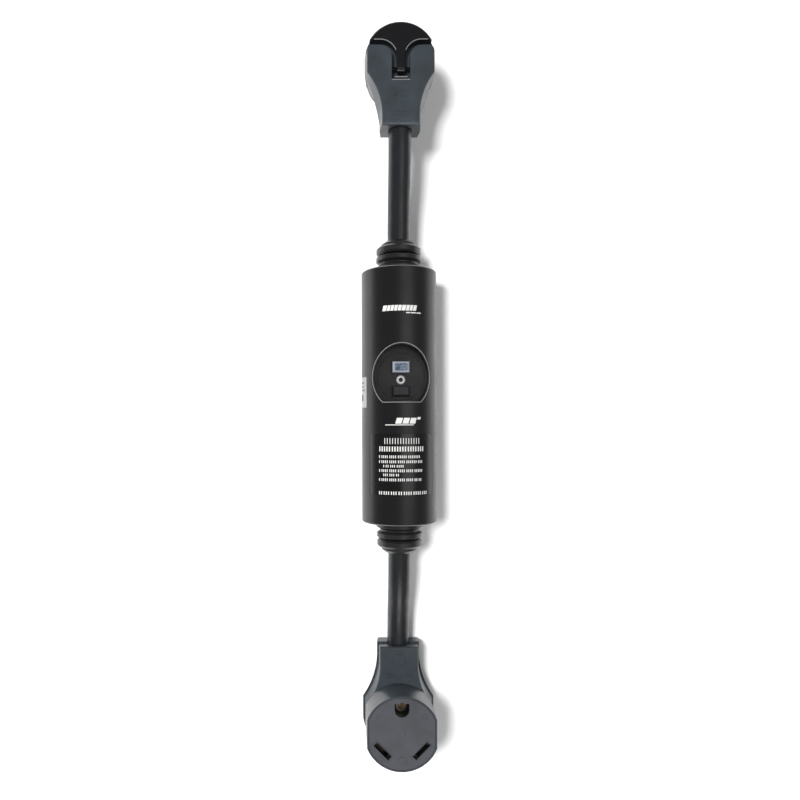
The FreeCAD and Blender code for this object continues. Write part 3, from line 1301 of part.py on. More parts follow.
def contacts():
    """The connector's face with its core, and the spring contacts inside the core."""
    head = "connector"
    top = "0 - dim.connector_half_depth - dim.boss_height"
    seat = f"{top} + dim.face_thickness"
    core_low = f"{seat} + dim.core_depth"
    plate = flat_disc("face_plate", head, "dim.boss_radius - dim.face_rim - dim.clearance",
                      "dim.boss_half_width - dim.face_rim - dim.clearance", top, seat)
    core = flat_disc("face_core", head, "dim.core_radius", "dim.core_half_width", f"{seat} - 0.5", core_low)
    cutters = blade_slots("face", "dim.slot_width", "dim.slot_thickness", head, f"{top} - 1", f"{top} + 2.2")
    room = "dim.clearance * 2"
    cutters += blade_slots("core", f"dim.contact_width + {room}",
                           f"dim.blade_thickness + dim.contact_leaf * 2 + {room}", head,
                           f"{top} + 2", f"{core_low} + 1")
    ground_y = "dim.connector_centre - dim.ground_back"
    half = "dim.ground_slot_half_width"
    slot_floor = f"{top} + dim.sleeve_setback"
    cutters.append(box("ground_slot", (f"0 - {half}", half), (f"{ground_y} - dim.ground_slot_depth / 2",
                       f"{ground_y} + dim.ground_slot_depth / 2 - {half}"), (f"{top} - 1", slot_floor)))
    cutters.append(rod("ground_slot_round", half, f"{top} - 1", f"{top} + dim.sleeve_setback", "Z",
                       ("0", f"{ground_y} + dim.ground_slot_depth / 2 - {half}")))
    sleeve = "dim.pin_radius + dim.clearance + dim.sleeve_wall"
    cutters.append(rod("sleeve_room", f"{sleeve} + dim.clearance", f"{top} + dim.sleeve_setback - 0.1",
                       f"{core_low} + 1", "Z", ("0", ground_y)))
    set_head(cut("face", join("face_blank", plate, core), *cutters), head, "connector_face")

    high = f"{top} + dim.contact_setback"
    low = f"{high} + dim.contact_height"
    for sign, name in ((1, "neutral"), (-1, "hot")):
        half = "dim.contact_width / 2"
        thick = "(dim.blade_thickness / 2 + dim.contact_leaf)"
        block = box(f"{name}_leaves", (f"0 - {half}", half), (f"0 - {thick}", thick),
                    (high, f"{low} + dim.tab_thickness"))
        gap = box(f"{name}_gap", (f"0 - {half} - 1", f"{half} + 1"),
                  ("0 - dim.blade_thickness / 2 - dim.contact_play",
                   "dim.blade_thickness / 2 + dim.contact_play"), (f"{high} - 1", low))
        tab = box(f"{name}_tab", ("0 - 2", "2"), (f"0 - {thick}", f"{thick} - dim.contact_leaf"),
                  (low, f"{core_low} + dim.tab_rise"))
        turned(join(f"{name}_contact", cut(f"{name}_pair", block, gap), tab), head, sign,
               f"connector_{name}_contact")

    sleeve_top = f"{top} + dim.sleeve_setback + 0.3"
    bore = "dim.pin_radius + dim.clearance / 2"
    end = f"{sleeve_top} + dim.sleeve_length"
    ground = revolved("ground_sleeve", [
        (bore, sleeve_top), (sleeve, sleeve_top), (sleeve, f"{end} + dim.tab_thickness"),
        ("0", f"{end} + dim.tab_thickness"), ("0", end), (bore, end),
    ], "XZ_Plane")
    place(ground, "0", ground_y, "0")
    foot = box("ground_foot", ("0 - 2", "2"), (f"{ground_y} - 0.6", f"{ground_y} + 0.6"),
               (f"{end} + dim.tab_thickness - 0.2", f"{core_low} + dim.tab_rise"))
    set_head(join("ground_contact", ground, foot), head, "connector_ground_contact")


def head_leads(head):
    """Three insulated leads from the cable's end to the blades or contacts."""
    radius = value("dim.lead_diameter / 2")
    spread = value("dim.lead_spread")
    start = value("dim.cable_end * 0.55") + 1.2
    centre = value(f"dim.{head}_centre")
    side = value("dim.blade_side")
    ground = centre - value("dim.ground_back")
    blade = centre + value("dim.blade_forward")
    post = value("dim.cover_screw_side") - value("dim.screw_radius + dim.boss_wall")
    lane = (post + value("dim.pin_radius + dim.pin_collar")) / 2
    if head == "plug":
        level = value("0 - dim.body_cavity + dim.root_depth") + radius + 0.1
    else:
        face_top = "0 - dim.connector_half_depth - dim.boss_height"
        core_low = value(f"{face_top} + dim.face_thickness + dim.core_depth")
        level = core_low + value("dim.tab_rise") + radius + 0.1
    wires = []
    for sign in (-1, 1):
        wires.append(tube([
            (sign * spread, start, -1.9),
            (sign * lane * 0.96, ground - 3, level * 0.8),
            (sign * lane, centre - 4, level),
            (sign * (side - 2.2), blade - 4.5, level - 0.05),
        ], radius)[0])
    wires.append(tube([
        (0, start, 1.0),
        (0, start + (ground - start) * 0.45, (level + 1.0) / 2 + 0.8),
        (0, ground - 0.6, level),
    ], radius)[0])
    item = shaped(f"{head}_wires", Part.makeCompound(wires))
    if head == "plug":
        item.Placement = FreeCAD.Placement(
            Vector(0, value("dim.plug_neck_place"), value(PLUG_AXIS)), FreeCAD.Rotation())
    else:
        item.Placement = FreeCAD.Placement(
            Vector(0, value("0 - dim.connector_neck_place"), value("dim.connector_half_depth")),
            FreeCAD.Rotation(Vector(1, 0, 0), 180))
    piece(item, f"{head}_leads")


# ---------------------------------------------------------------- cables
# Each cable's points, chosen by hand: from inside its gland, in a gentle S, to inside its head.
LINE_ROUTE = [(0, 97.6, 28.5), (0, 135.6, 28.5), (0, 179.9, 44.0), (0, 217.9, 44.0)]
LOAD_ROUTE = [(0, -97.6, 28.5), (0, -135.6, 28.5), (0, -175.9, 12.0), (0, -213.9, 12.0)]


def cable(name, label, route):
    """One round cable along its route."""
    solid, length, radii = tube(route, value(CABLE))
    print(f"{label}: length {length:.1f} mm, tightest bend {min(radii):.1f} mm")
    piece(shaped(name, solid), label)


housing()
end_fittings("line", 0)
end_fittings("load", 180)
panel()
button("reset")
button("test")
electronics()
housing_leads()
head_shells("plug")
handle()
head_fittings("plug")
blades()
head_leads("plug")
head_shells("connector")
head_fittings("connector")
contacts()
head_leads("connector")
cable("supply_cable", "line_cable", LINE_ROUTE)
cable("output_cable", "load_cable", LOAD_ROUTE)
doc.recompute()

# ---------------------------------------------------------------- checks and output
problems = []
for item in doc.Objects:
    if {"Invalid", "Error"} & set(item.State):
        problems.append(f"{item.Name} is {item.State}")
for item in PIECES:
    if item.Shape.isNull() or not item.Shape.isValid() or not item.Shape.Solids:
        problems.append(f"{item.Label} has no valid solid")
if problems:
    raise RuntimeError("; ".join(problems))

os.makedirs("parts", exist_ok=True)
for item in PIECES:
    item.Shape.exportStep(f"parts/{item.Label}.step")
print(f"{len(PIECES)} sub-parts written")
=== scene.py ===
import json
import math

import bmesh
import bpy
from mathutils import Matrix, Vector


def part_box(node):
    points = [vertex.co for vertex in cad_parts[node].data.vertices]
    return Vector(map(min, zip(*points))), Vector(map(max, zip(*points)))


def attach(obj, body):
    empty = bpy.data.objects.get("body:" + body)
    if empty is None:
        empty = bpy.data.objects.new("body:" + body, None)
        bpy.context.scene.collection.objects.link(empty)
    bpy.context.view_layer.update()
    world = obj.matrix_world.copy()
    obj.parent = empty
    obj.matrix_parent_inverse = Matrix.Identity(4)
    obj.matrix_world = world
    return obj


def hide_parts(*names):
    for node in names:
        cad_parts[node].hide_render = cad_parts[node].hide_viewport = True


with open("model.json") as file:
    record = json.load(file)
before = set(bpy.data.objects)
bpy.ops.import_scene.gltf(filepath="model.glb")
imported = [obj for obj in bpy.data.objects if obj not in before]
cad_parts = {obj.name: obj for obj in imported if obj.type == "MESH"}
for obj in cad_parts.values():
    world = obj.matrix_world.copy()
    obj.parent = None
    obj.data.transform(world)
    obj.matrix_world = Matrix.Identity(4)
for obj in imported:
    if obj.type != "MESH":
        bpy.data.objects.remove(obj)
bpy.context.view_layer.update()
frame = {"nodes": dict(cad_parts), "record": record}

MM = 0.001
nodes = frame["nodes"]
scene = bpy.context.scene

# ---------------------------------------------------------------- places from the frame
tube_low, tube_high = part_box("housing_tube")
TUBE_RADIUS = (tube_high.x - tube_low.x) / 2
AXIS_LEVEL = (tube_high.z + tube_low.z) / 2
reset_low, reset_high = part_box("reset_button")
test_low, test_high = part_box("test_button")
face_low, face_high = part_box("connector_face")
pads_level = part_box("plug_back_cover")[1].z

# ---------------------------------------------------------------- camera
# Straight above, close enough for clear perspective, and turned a hair about its own axis.
CAMERA_PLACE = (-0.041, -0.022, 0.5285)
CAMERA_TURN = math.radians(-0.17)
camera_data = bpy.data.cameras.new("studio_camera")
camera_data.lens = 29.3
camera_data.sensor_width = 36.0
camera_data.shift_x = 0.068
camera_data.shift_y = 0.0325
camera = bpy.data.objects.new("studio_camera", camera_data)
camera.location = CAMERA_PLACE
camera.rotation_euler = (0.0, 0.0, CAMERA_TURN)
scene.collection.objects.link(camera)
scene.camera = camera

# ---------------------------------------------------------------- the two leads
CABLE_DIAMETER = 0.017
LINE_ROUTE = [
    (0.0, 0.0976, 0.0285),
    (0.0, 0.1356, 0.0285),
    (0.0, 0.1799, 0.0440),
    (0.0, 0.2179, 0.0440),
]
LOAD_ROUTE = [
    (0.0, -0.0976, 0.0285),
    (0.0, -0.1356, 0.0285),
    (0.0, -0.1759, 0.0120),
    (0.0, -0.2139, 0.0120),
]


def lead(name, route, stands_for):
    """A thick round lead that follows its route in one smooth bend.

    The bevel is one metre and each point's radius is the real one, because a curve's bounding box
    counts its points' radii.
    """
    line = bpy.data.curves.new(name, "CURVE")
    line.dimensions = "3D"
    line.bevel_depth = 1.0
    line.bevel_resolution = 12
    line.resolution_u = 24
    line.use_fill_caps = True
    spline = line.splines.new("NURBS")
    spline.points.add(len(route) - 1)
    for point, place in zip(spline.points, route):
        point.co = (*place, 1.0)
        point.radius = CABLE_DIAMETER / 2
    spline.order_u = 3
    spline.use_endpoint_u = True
    piece = bpy.data.objects.new(name, line)
    scene.collection.objects.link(piece)
    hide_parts(stands_for)
    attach(piece, "body")
    return piece


line_lead = lead("line_lead", LINE_ROUTE, "line_cable")
load_lead = lead("load_lead", LOAD_ROUTE, "load_cable")


# ---------------------------------------------------------------- finishes
# Noise lies mostly between these two values, so this range is spread over both of the colours.
CLOUD_LOW = 0.3
CLOUD_HIGH = 0.7


def linear(code):
    """An sRGB hex colour as linear red, green, blue and alpha."""
    parts = [int(code[i : i + 2], 16) / 255 for i in (1, 3, 5)]
    return (*[c / 12.92 if c <= 0.04045 else ((c + 0.055) / 1.055) ** 2.4 for c in parts], 1.0)


def add_node(tree, kind, inputs, **settings):
    """One shader node with its settings; an input is a constant or another node's output."""
    made = tree.nodes.new(kind)
    for name, value in settings.items():
        setattr(made, name, value)
    for name, value in inputs.items():
        if isinstance(value, bpy.types.NodeSocket):
            tree.links.new(value, made.inputs[name])
        else:
            made.inputs[name].default_value = value
    return made


def per_metre(size_mm):
    """A texture scale whose features are this many millimetres across."""
    return 1.0 / (size_mm * MM)


def blank(name):
    """A new material's tree, its shader and the object's own coordinates in metres."""
    finish = bpy.data.materials.new(name)
    finish.use_nodes = True
    tree = finish.node_tree
    shader = tree.nodes["Principled BSDF"]
    place = tree.nodes.new("ShaderNodeTexCoord").outputs["Object"]
    return finish, tree, shader, place


def moulded(name, dark, light, roughness, ior, grain_mm, grain_depth_mm, cloud_mm, edge_mm=0.3):
    """A moulded polymer: a fine eroded grain from the mould, faint clouding, and soft moulded edges."""
    finish, tree, shader, place = blank(name)
    cloud = add_node(
        tree,
        "ShaderNodeTexNoise",
        {"Vector": place, "Scale": per_metre(cloud_mm), "Detail": 3.0},
    )
    grain = add_node(
        tree,
        "ShaderNodeTexNoise",
        {"Vector": place, "Scale": per_metre(grain_mm), "Detail": 2.0},
    )
    spread = add_node(
        tree,
        "ShaderNodeMapRange",
        {"Value": cloud.outputs["Fac"], "From Min": CLOUD_LOW, "From Max": CLOUD_HIGH},
    )
    colour = add_node(
        tree,
        "ShaderNodeMix",
        {0: spread.outputs["Result"], 6: linear(dark), 7: linear(light)},
        data_type="RGBA",
    )
    rubbed = add_node(
        tree,
        "ShaderNodeMapRange",
        {
            "Value": cloud.outputs["Fac"],
            "From Min": CLOUD_LOW,
            "From Max": CLOUD_HIGH,
            "To Min": roughness + 0.04,
            "To Max": roughness - 0.04,
        },
    )
    edge = add_node(tree, "ShaderNodeBevel", {"Radius": edge_mm * MM}, samples=4)
    bump = add_node(
        tree,
        "ShaderNodeBump",
        {
            "Height": grain.outputs["Fac"],
            "Distance": grain_depth_mm * MM,
            "Strength": 1.0,
            "Normal": edge.outputs["Normal"],
        },
    )
    tree.links.new(colour.outputs[2], shader.inputs["Base Color"])
    tree.links.new(rubbed.outputs["Result"], shader.inputs["Roughness"])
    tree.links.new(bump.outputs["Normal"], shader.inputs["Normal"])
    shader.inputs["IOR"].default_value = ior
    return finish


def darken_below(finish, level, start_mm, end_mm, dark):
    """Painted shade: the colour falls to a dark one below a level, to deepen what the lights give.

    It goes by height alone, so it only suits a face whose openings point straight up.
    """
    tree = finish.node_tree
    shader = tree.nodes["Principled BSDF"]
    clean = shader.inputs["Base Color"].links[0].from_socket
    spot = add_node(tree, "ShaderNodeNewGeometry", {})
    split = add_node(tree, "ShaderNodeSeparateXYZ", {"Vector": spot.outputs["Position"]})
    depth = add_node(
        tree,
        "ShaderNodeMapRange",
        {
            "Value": split.outputs["Z"],
            "From Min": level - start_mm * MM,
            "From Max": level - end_mm * MM,
        },
    )
    mixed = add_node(
        tree,
        "ShaderNodeMix",
        {0: depth.outputs["Result"], 6: clean, 7: linear(dark)},
        data_type="RGBA",
    )
    tree.links.new(mixed.outputs[2], shader.inputs["Base Color"])


def metal(name, colour, dull, roughness, streak_mm, streak_depth_mm):
    """A bare or plated metal: drawn or turned streaks, and a little tarnish between them."""
    finish, tree, shader, place = blank(name)
    drawn = add_node(tree, "ShaderNodeMapping", {"Vector": place, "Scale": (1.0, 1.0, 0.12)})
    streak = add_node(
        tree,
        "ShaderNodeTexNoise",
        {"Vector": drawn.outputs["Vector"], "Scale": per_metre(streak_mm), "Detail": 4.0},
    )
    tarnish = add_node(
        tree,
        "ShaderNodeTexNoise",
        {"Vector": place, "Scale": per_metre(6.0), "Detail": 4.0},
    )
    shade = add_node(
        tree,
        "ShaderNodeMix",
        {0: tarnish.outputs["Fac"], 6: linear(colour), 7: linear(dull)},
        data_type="RGBA",
    )
    polish = add_node(
        tree,
        "ShaderNodeMapRange",
        {"Value": streak.outputs["Fac"], "To Min": roughness - 0.06, "To Max": roughness + 0.1},
    )
    edge = add_node(tree, "ShaderNodeBevel", {"Radius": 0.15 * MM}, samples=4)
    bump = add_node(
        tree,
        "ShaderNodeBump",
        {
            "Height": streak.outputs["Fac"],
            "Distance": streak_depth_mm * MM,
            "Normal": edge.outputs["Normal"],
        },
    )
    tree.links.new(shade.outputs[2], shader.inputs["Base Color"])
    tree.links.new(polish.outputs["Result"], shader.inputs["Roughness"])
    tree.links.new(bump.outputs["Normal"], shader.inputs["Normal"])
    shader.inputs["Metallic"].default_value = 1.0
    return finish


def jacket(name, dark, light, roughness):
    """An extruded PVC cable jacket: die lines along the lead and a faint hand-worn sheen."""
    finish, tree, shader, place = blank(name)
    along = add_node(tree, "ShaderNodeMapping", {"Vector": place, "Scale": (1.0, 0.03, 1.0)})
    lines = add_node(
        tree,
        "ShaderNodeTexNoise",
        {"Vector": along.outputs["Vector"], "Scale": per_metre(1.1), "Detail": 3.0},
    )
    dents = add_node(tree, "ShaderNodeTexNoise", {"Vector": place, "Scale": per_metre(9.0), "Detail": 2.0})
    worn = add_node(
        tree,
        "ShaderNodeMapRange",
        {
            "Value": dents.outputs["Fac"],
            "From Min": CLOUD_LOW,
            "From Max": CLOUD_HIGH,
            "To Min": roughness - 0.05,
            "To Max": roughness + 0.06,
        },
    )
    colour = add_node(
        tree,
        "ShaderNodeMix",
        {0: lines.outputs["Fac"], 6: linear(dark), 7: linear(light)},
        data_type="RGBA",
    )
    height = add_node(
        tree,
        "ShaderNodeMath",
        {0: dents.outputs["Fac"], 1: 3.0, 2: lines.outputs["Fac"]},
        operation="MULTIPLY_ADD",
    )
    bump = add_node(tree, "ShaderNodeBump", {"Height": height.outputs[0], "Distance": 0.05 * MM})
    tree.links.new(colour.outputs[2], shader.inputs["Base Color"])
    tree.links.new(worn.outputs["Result"], shader.inputs["Roughness"])
    tree.links.new(bump.outputs["Normal"], shader.inputs["Normal"])
    shader.inputs["IOR"].default_value = 1.53
    return finish


def film(name, dark, light, roughness, metallic=0.0):
    """A printed polyester film label: nearly smooth, with the faint ripple of film on a round body."""
    finish, tree, shader, place = blank(name)
    ripple = add_node(tree, "ShaderNodeTexNoise", {"Vector": place, "Scale": per_metre(5.0), "Detail": 1.0})
    speck = add_node(tree, "ShaderNodeTexNoise", {"Vector": place, "Scale": per_metre(0.8), "Detail": 2.0})
    shade = add_node(
        tree,
        "ShaderNodeMix",
        {0: speck.outputs["Fac"], 6: linear(dark), 7: linear(light)},
        data_type="RGBA",
    )
    gloss = add_node(
        tree,
        "ShaderNodeMapRange",
        {"Value": speck.outputs["Fac"], "To Min": roughness - 0.04, "To Max": roughness + 0.06},
    )
    bump = add_node(tree, "ShaderNodeBump", {"Height": ripple.outputs["Fac"], "Distance": 0.04 * MM})
    tree.links.new(shade.outputs[2], shader.inputs["Base Color"])
    tree.links.new(gloss.outputs["Result"], shader.inputs["Roughness"])
    tree.links.new(bump.outputs["Normal"], shader.inputs["Normal"])
    shader.inputs["IOR"].default_value = 1.6
    shader.inputs["Metallic"].default_value = metallic
    return finish


def speckled(name, dark, light, roughness):
    """A textured grip insert: bumps 0.9 mm apart and pale blotches of 1.6 mm, coarse enough to show."""
    finish, tree, shader, place = blank(name)
    specks = add_node(tree, "ShaderNodeTexVoronoi", {"Vector": place, "Scale": per_metre(0.9)})
    blotch = add_node(tree, "ShaderNodeTexNoise", {"Vector": place, "Scale": per_metre(1.6), "Detail": 4.0})
    share = add_node(
        tree,
        "ShaderNodeMapRange",
        {"Value": blotch.outputs["Fac"], "From Min": 0.36, "From Max": 0.62},
    )
    colour = add_node(
        tree,
        "ShaderNodeMix",
        {0: share.outputs["Result"], 6: linear(dark), 7: linear(light)},
        data_type="RGBA",
    )
    bump = add_node(tree, "ShaderNodeBump", {"Height": specks.outputs["Distance"], "Distance": 0.12 * MM})
    tree.links.new(colour.outputs[2], shader.inputs["Base Color"])
    tree.links.new(bump.outputs["Normal"], shader.inputs["Normal"])
    shader.inputs["Roughness"].default_value = roughness
    shader.inputs["IOR"].default_value = 1.5
    return finish


# Glass-filled ABS from a spark-eroded mould: deep satin black, brighter where it is seen edge on.
housing_abs = moulded("housing_moulded_abs", "#0b0b0c", "#0f0f11", 0.35, 1.53, 0.9, 0.018, 30.0)
# The same ABS with a duller mould: the end caps read a step flatter than the tube.
cap_abs = moulded("cap_moulded_abs", "#111112", "#161617", 0.42, 1.53, 0.9, 0.018, 18.0)
# Nylon 6.6 from a polished mould: a tighter, slightly waxy sheen.
gland_nylon = moulded("gland_moulded_nylon", "#161617", "#1d1d1e", 0.34, 1.53, 0.7, 0.012, 9.0, 0.4)
# Polycarbonate in a pale grey that is painted highlight: thin pale lines against the black, for light
# caught on moulded edges.
edge_highlight_plastic = moulded(
    "edge_painted_highlight_polycarbonate", "#6e6e6e", "#7e7e7e", 0.22, 1.58, 0.6, 0.004, 12.0
)
# Nitrile rubber: quite matt, with no clear highlight.
seal_rubber = moulded("seal_moulded_nitrile", "#101010", "#171717", 0.62, 1.52, 0.5, 0.02, 6.0)
# Fine-grained polycarbonate: an even matt black, so the panel looks set back from the tube.
panel_plastic = moulded(
    "panel_moulded_polycarbonate", "#0b0b0c", "#101011", 0.42, 1.58, 0.6, 0.02, 12.0
)
# Pale blue-grey ABS: the one light key on the panel. The pale border it shows round its insert is partly
# painted highlight, for light on the key's chamfered edges.
reset_plastic = moulded("reset_moulded_abs", "#7b7f8a", "#8b8f9a", 0.4, 1.53, 0.5, 0.01, 5.0)
# Black ABS a shade lighter than the panel, so the second key just shows.
test_plastic = moulded("test_moulded_abs", "#1a1a1d", "#222226", 0.42, 1.53, 0.5, 0.012, 5.0)
# Soft vinyl moulded over the heads: cool slate grey, with faint flow clouds and rounded edges.
head_vinyl = moulded("head_moulded_vinyl", "#282c30", "#333a3f", 0.34, 1.54, 1.0, 0.022, 22.0, 0.5)
# Black nylon from a polished mould: the darkest and glossiest piece of the plug.
handle_plastic = moulded(
    "handle_moulded_nylon", "#08080a", "#0d0d0f", 0.26, 1.53, 0.8, 0.012, 14.0, 0.5
)
# Grey nylon with flow clouds: flat and matt. The black of its openings is partly painted shade.
face_plastic = moulded(
    "face_moulded_nylon", "#37383c", "#404146", 0.46, 1.53, 0.8, 0.016, 16.0, 0.35
)
darken_below(face_plastic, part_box("connector_face")[1].z, 0.5, 2.0, "#060606")
# Moulded cases of the relay, chip and sensor: plain dull black.
case_plastic = moulded("component_moulded_case", "#1e1e20", "#28282a", 0.5, 1.52, 0.5, 0.01, 5.0)
# Natural grey nylon: a pale, dull frame inside the housing.
carrier_plastic = moulded("carrier_moulded_nylon", "#77777a", "#828285", 0.5, 1.53, 0.7, 0.01, 8.0)
# Glass fibre under a green solder mask: a wet-looking gloss.
board_glass = moulded(
    "board_solder_masked_glass_fibre", "#0d3d22", "#14502d", 0.3, 1.5, 0.9, 0.01, 4.0
)
# Epoxy that a disc was dipped in: thick, uneven and shiny blue.
varistor_epoxy = moulded("varistor_dipped_epoxy", "#1c3f86", "#264f9c", 0.32, 1.55, 1.5, 0.05, 4.0)
# Extruded PVC insulation: smooth charcoal.
wire_pvc = moulded("wire_extruded_pvc", "#26262a", "#303035", 0.4, 1.53, 0.8, 0.01, 6.0)
# Smoked acrylic, unlit: a dark dot with one sharp glint.
lens_acrylic = moulded("lens_moulded_acrylic", "#191614", "#26211e", 0.08, 1.49, 0.6, 0.02, 2.0)
# Zinc plate over steel: a dull silver with a little white bloom.
screw_zinc = metal("screw_zinc_plated_steel", "#b9bab8", "#8f908e", 0.32, 0.4, 0.01)
# Satin plate on ABS: a pale ring that stays bright from above, so it is only part metallic. Its pale
# diffuse colour is painted reflection, in place of the lights the plate would mirror.
bezel_plated = moulded(
    "bezel_plated_abs_painted_reflection", "#a9aaac", "#bdbec0", 0.28, 1.53, 0.4, 0.006, 2.0, 0.2
)
bezel_plated.node_tree.nodes["Principled BSDF"].inputs["Metallic"].default_value = 0.4
# Nickel over brass, drawn and stamped: warm silver that goes brassy where it is rubbed.
blade_brass = metal("blade_nickel_plated_brass", "#cfc9ba", "#ab9f80", 0.24, 0.5, 0.01)
# Black oxide on steel: a nearly black pin with a dull glint.
pin_oxide = metal("pin_black_oxide_steel", "#2a2a2c", "#19191a", 0.4, 0.4, 0.01)
# Extruded PVC jacket: a long soft highlight, broken by die lines.
cable_pvc = jacket("cable_extruded_pvc_jacket", "#111214", "#191b1e", 0.36)
# Black polyester film: a patch glossier and blacker than the tube round it.
label_black = film("label_printed_polyester", "#030304", "#060607", 0.24)
# Metallised polyester: flat silver that catches the light along its ripple.
label_silver = film("label_silver_polyester", "#8f9092", "#a7a8aa", 0.38, 0.6)
# Screened inks: chalky white, and matt black on the silver label.
ink_white = film("print_screened_white_ink", "#b4b4b1", "#cfcfcc", 0.5)
ink_black = film("print_screened_black_ink", "#161616", "#232323", 0.5)
# Rubbery insert with pale specks: the key's middle looks mottled blue-grey.
grip_speckle = speckled("reset_speckled_grip_insert", "#27303a", "#5a6773", 0.45)

FINISH_OF_SLOT = {
    "housing": housing_abs,
    "cap": cap_abs,
    "seal": seal_rubber,
    "steel_screw": screw_zinc,
    "gland": gland_nylon,
    "panel": panel_plastic,
    "bezel": bezel_plated,
    "lens": lens_acrylic,
    "reset": reset_plastic,
    "test": test_plastic,
    "component": case_plastic,
    "board": board_glass,
    "carrier": carrier_plastic,
    "varistor": varistor_epoxy,
    "contact": blade_brass,
    "lead": wire_pvc,
    "label_black": label_black,
    "label_silver": label_silver,
    "cable": cable_pvc,
    "head": head_vinyl,
    "handle": handle_plastic,
    "face": face_plastic,
    "pin": pin_oxide,
}
for row in frame["record"]["subparts"]:
    for place in nodes[row["node"]].material_slots:
        place.material = FINISH_OF_SLOT[row["material_slot"]]
for piece in (line_lead, load_lead):
    piece.data.materials.append(cable_pvc)


# ---------------------------------------------------------------- small pieces
def mesh_piece(name, mesh, finish, body="body"):
    """A finished mesh as a piece that rides on its body."""
    data = bpy.data.meshes.new(name)
    mesh.to_mesh(data)
    mesh.free()
    data.materials.append(finish)
    piece = bpy.data.objects.new(name, data)
    scene.collection.objects.link(piece)
    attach(piece, body)
    return piece


# Raised pieces start this far below the face that they stand on, in millimetres.
ROOT_MM = 0.02
INK_THICKNESS = 0.04 * MM
INK_SINK = 0.03 * MM
INK_STEP = 1.2 * MM


def wrapped_prints(name, bars, radius, turn, finish):
    """Printed bars wrapped on the round housing. A bar is left, right, low and high in millimetres
    on the unrolled surface, then how far its top leans to the right."""
    mesh = bmesh.new()
    for left, right, low, high, lean in bars:
        steps = max(1, math.ceil((right - left) * MM / INK_STEP))
        columns = []
        for i in range(steps + 1):
            s = (left + (right - left) * i / steps) * MM
            column = []
            for level, shift, y in (
                (radius - INK_SINK, 0.0, low),
                (radius + INK_THICKNESS, 0.0, low),
                (radius + INK_THICKNESS, lean, high),
                (radius - INK_SINK, lean, high),
            ):
                angle = turn + (s + shift * MM) / radius
                column.append(
                    mesh.verts.new(
                        (level * math.sin(angle), y * MM, AXIS_LEVEL + level * math.cos(angle))
                    )
                )
            columns.append(column)
        for a, b in zip(columns, columns[1:]):
            for j in range(4):
                k = (j + 1) % 4
                mesh.faces.new((a[j], b[j], b[k], a[k]))
        mesh.faces.new(columns[0])
        mesh.faces.new(columns[-1][::-1])
    bmesh.ops.recalc_face_normals(mesh, faces=mesh.faces)
    return mesh_piece(name, mesh, finish)


def words(low, high, start, lengths, gap=0.9, lean=0.0):
    """A row of plain bars, one per word, in millimetres."""
    made = []
    for length in lengths:
        made.append((start, start + length, low, high, lean))
        start += length + gap
    return made


def strokes(low, high, start, lengths, stroke, gap):
    """A row of words, each a run of plain strokes with a stroke's width between, in millimetres."""
    made = []
    for length in lengths:
        count = max(1, round((length + stroke) / (stroke + stroke)))
        made += words(low, high, start, [stroke] * count, stroke)
        start += count * (stroke + stroke) - stroke + gap
    return made


# Two plain printed marks on the housing, as slanted blocks.
wrapped_prints(
    "upper_printed_mark",
    words(61.6, 65.6, -14.6, [3.0, 2.2, 2.2, 2.2, 2.4, 2.8, 2.2, 2.2, 2.4], 0.45, 0.9)
    + words(59.7, 60.5, 3.0, [3.0, 4.0, 3.6], 0.5, 0.2),
    TUBE_RADIUS,
    0.0,
    ink_white,
)
wrapped_prints(
    "lower_printed_mark",
    words(-20.4, -16.2, -5.0, [4.4, 4.4, 4.4], 0.8, 1.2)
    + words(-17.4, -15.6, 11.4, [2.6], 0.5, 0.5)
    + words(-21.6, -21.0, -12.6, [21.0], 0.5, 0.2),
    TUBE_RADIUS,
    0.0,
    ink_white,
)

# Rows on the instruction label, as plain strokes: a heading, a second line, steps and a last line.
label_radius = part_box("instruction_label")[1].z - AXIS_LEVEL
wrapped_prints(
    "instruction_heading",
    words(-35.2, -30.9, -13.2, [0.55] * 14, 1.42),
    label_radius,
    0.0,
    ink_white,
)
wrapped_prints(
    "instruction_rows",
    strokes(-40.6, -37.0, -17.4, [8.0, 9.6, 7.4, 5.4], 0.95, 1.2)
    + strokes(-45.5, -43.5, -17.6, [1.0, 5.0, 4.4, 6.2, 9.4], 0.7, 1.3)
    + strokes(-49.1, -47.1, -17.6, [1.0, 4.6, 5.6, 5.4, 7.6, 3.2], 0.7, 1.3)
    + strokes(-52.2, -50.4, -14.2, [1.0, 2.2, 3.4, 4.4], 0.7, 1.3)
    + strokes(-55.6, -53.6, -17.6, [1.0, 4.6, 4.4, 5.6, 5.0, 6.6], 0.7, 1.3)
    + strokes(-58.6, -56.8, -14.2, [3.4, 3.2, 2.4], 0.7, 1.3)
    + strokes(-62.2, -60.2, -17.6, [1.0, 4.6, 4.4, 5.2, 4.2, 2.2, 2.6], 0.7, 1.3)
    + strokes(-72.1, -69.7, -17.8, [3.0, 4.6, 4.4, 2.0, 6.4, 5.4, 4.8], 0.85, 1.3),
    label_radius,
    0.0,
    ink_white,
)
rating_radius = -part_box("rating_label")[0].x
wrapped_prints(
    "rating_rows",
    words(-3.2, 1.6, -9.0, [16.0])
    + words(4.4, 5.4, -10.0, [1.0, 5.0, 8.0, 4.0])
    + words(7.2, 8.2, -10.0, [7.0, 3.0, 6.4])
    + words(10.0, 11.0, -10.0, [4.0, 8.0, 5.0]),
    rating_radius,
    -math.pi / 2,
    ink_black,
)


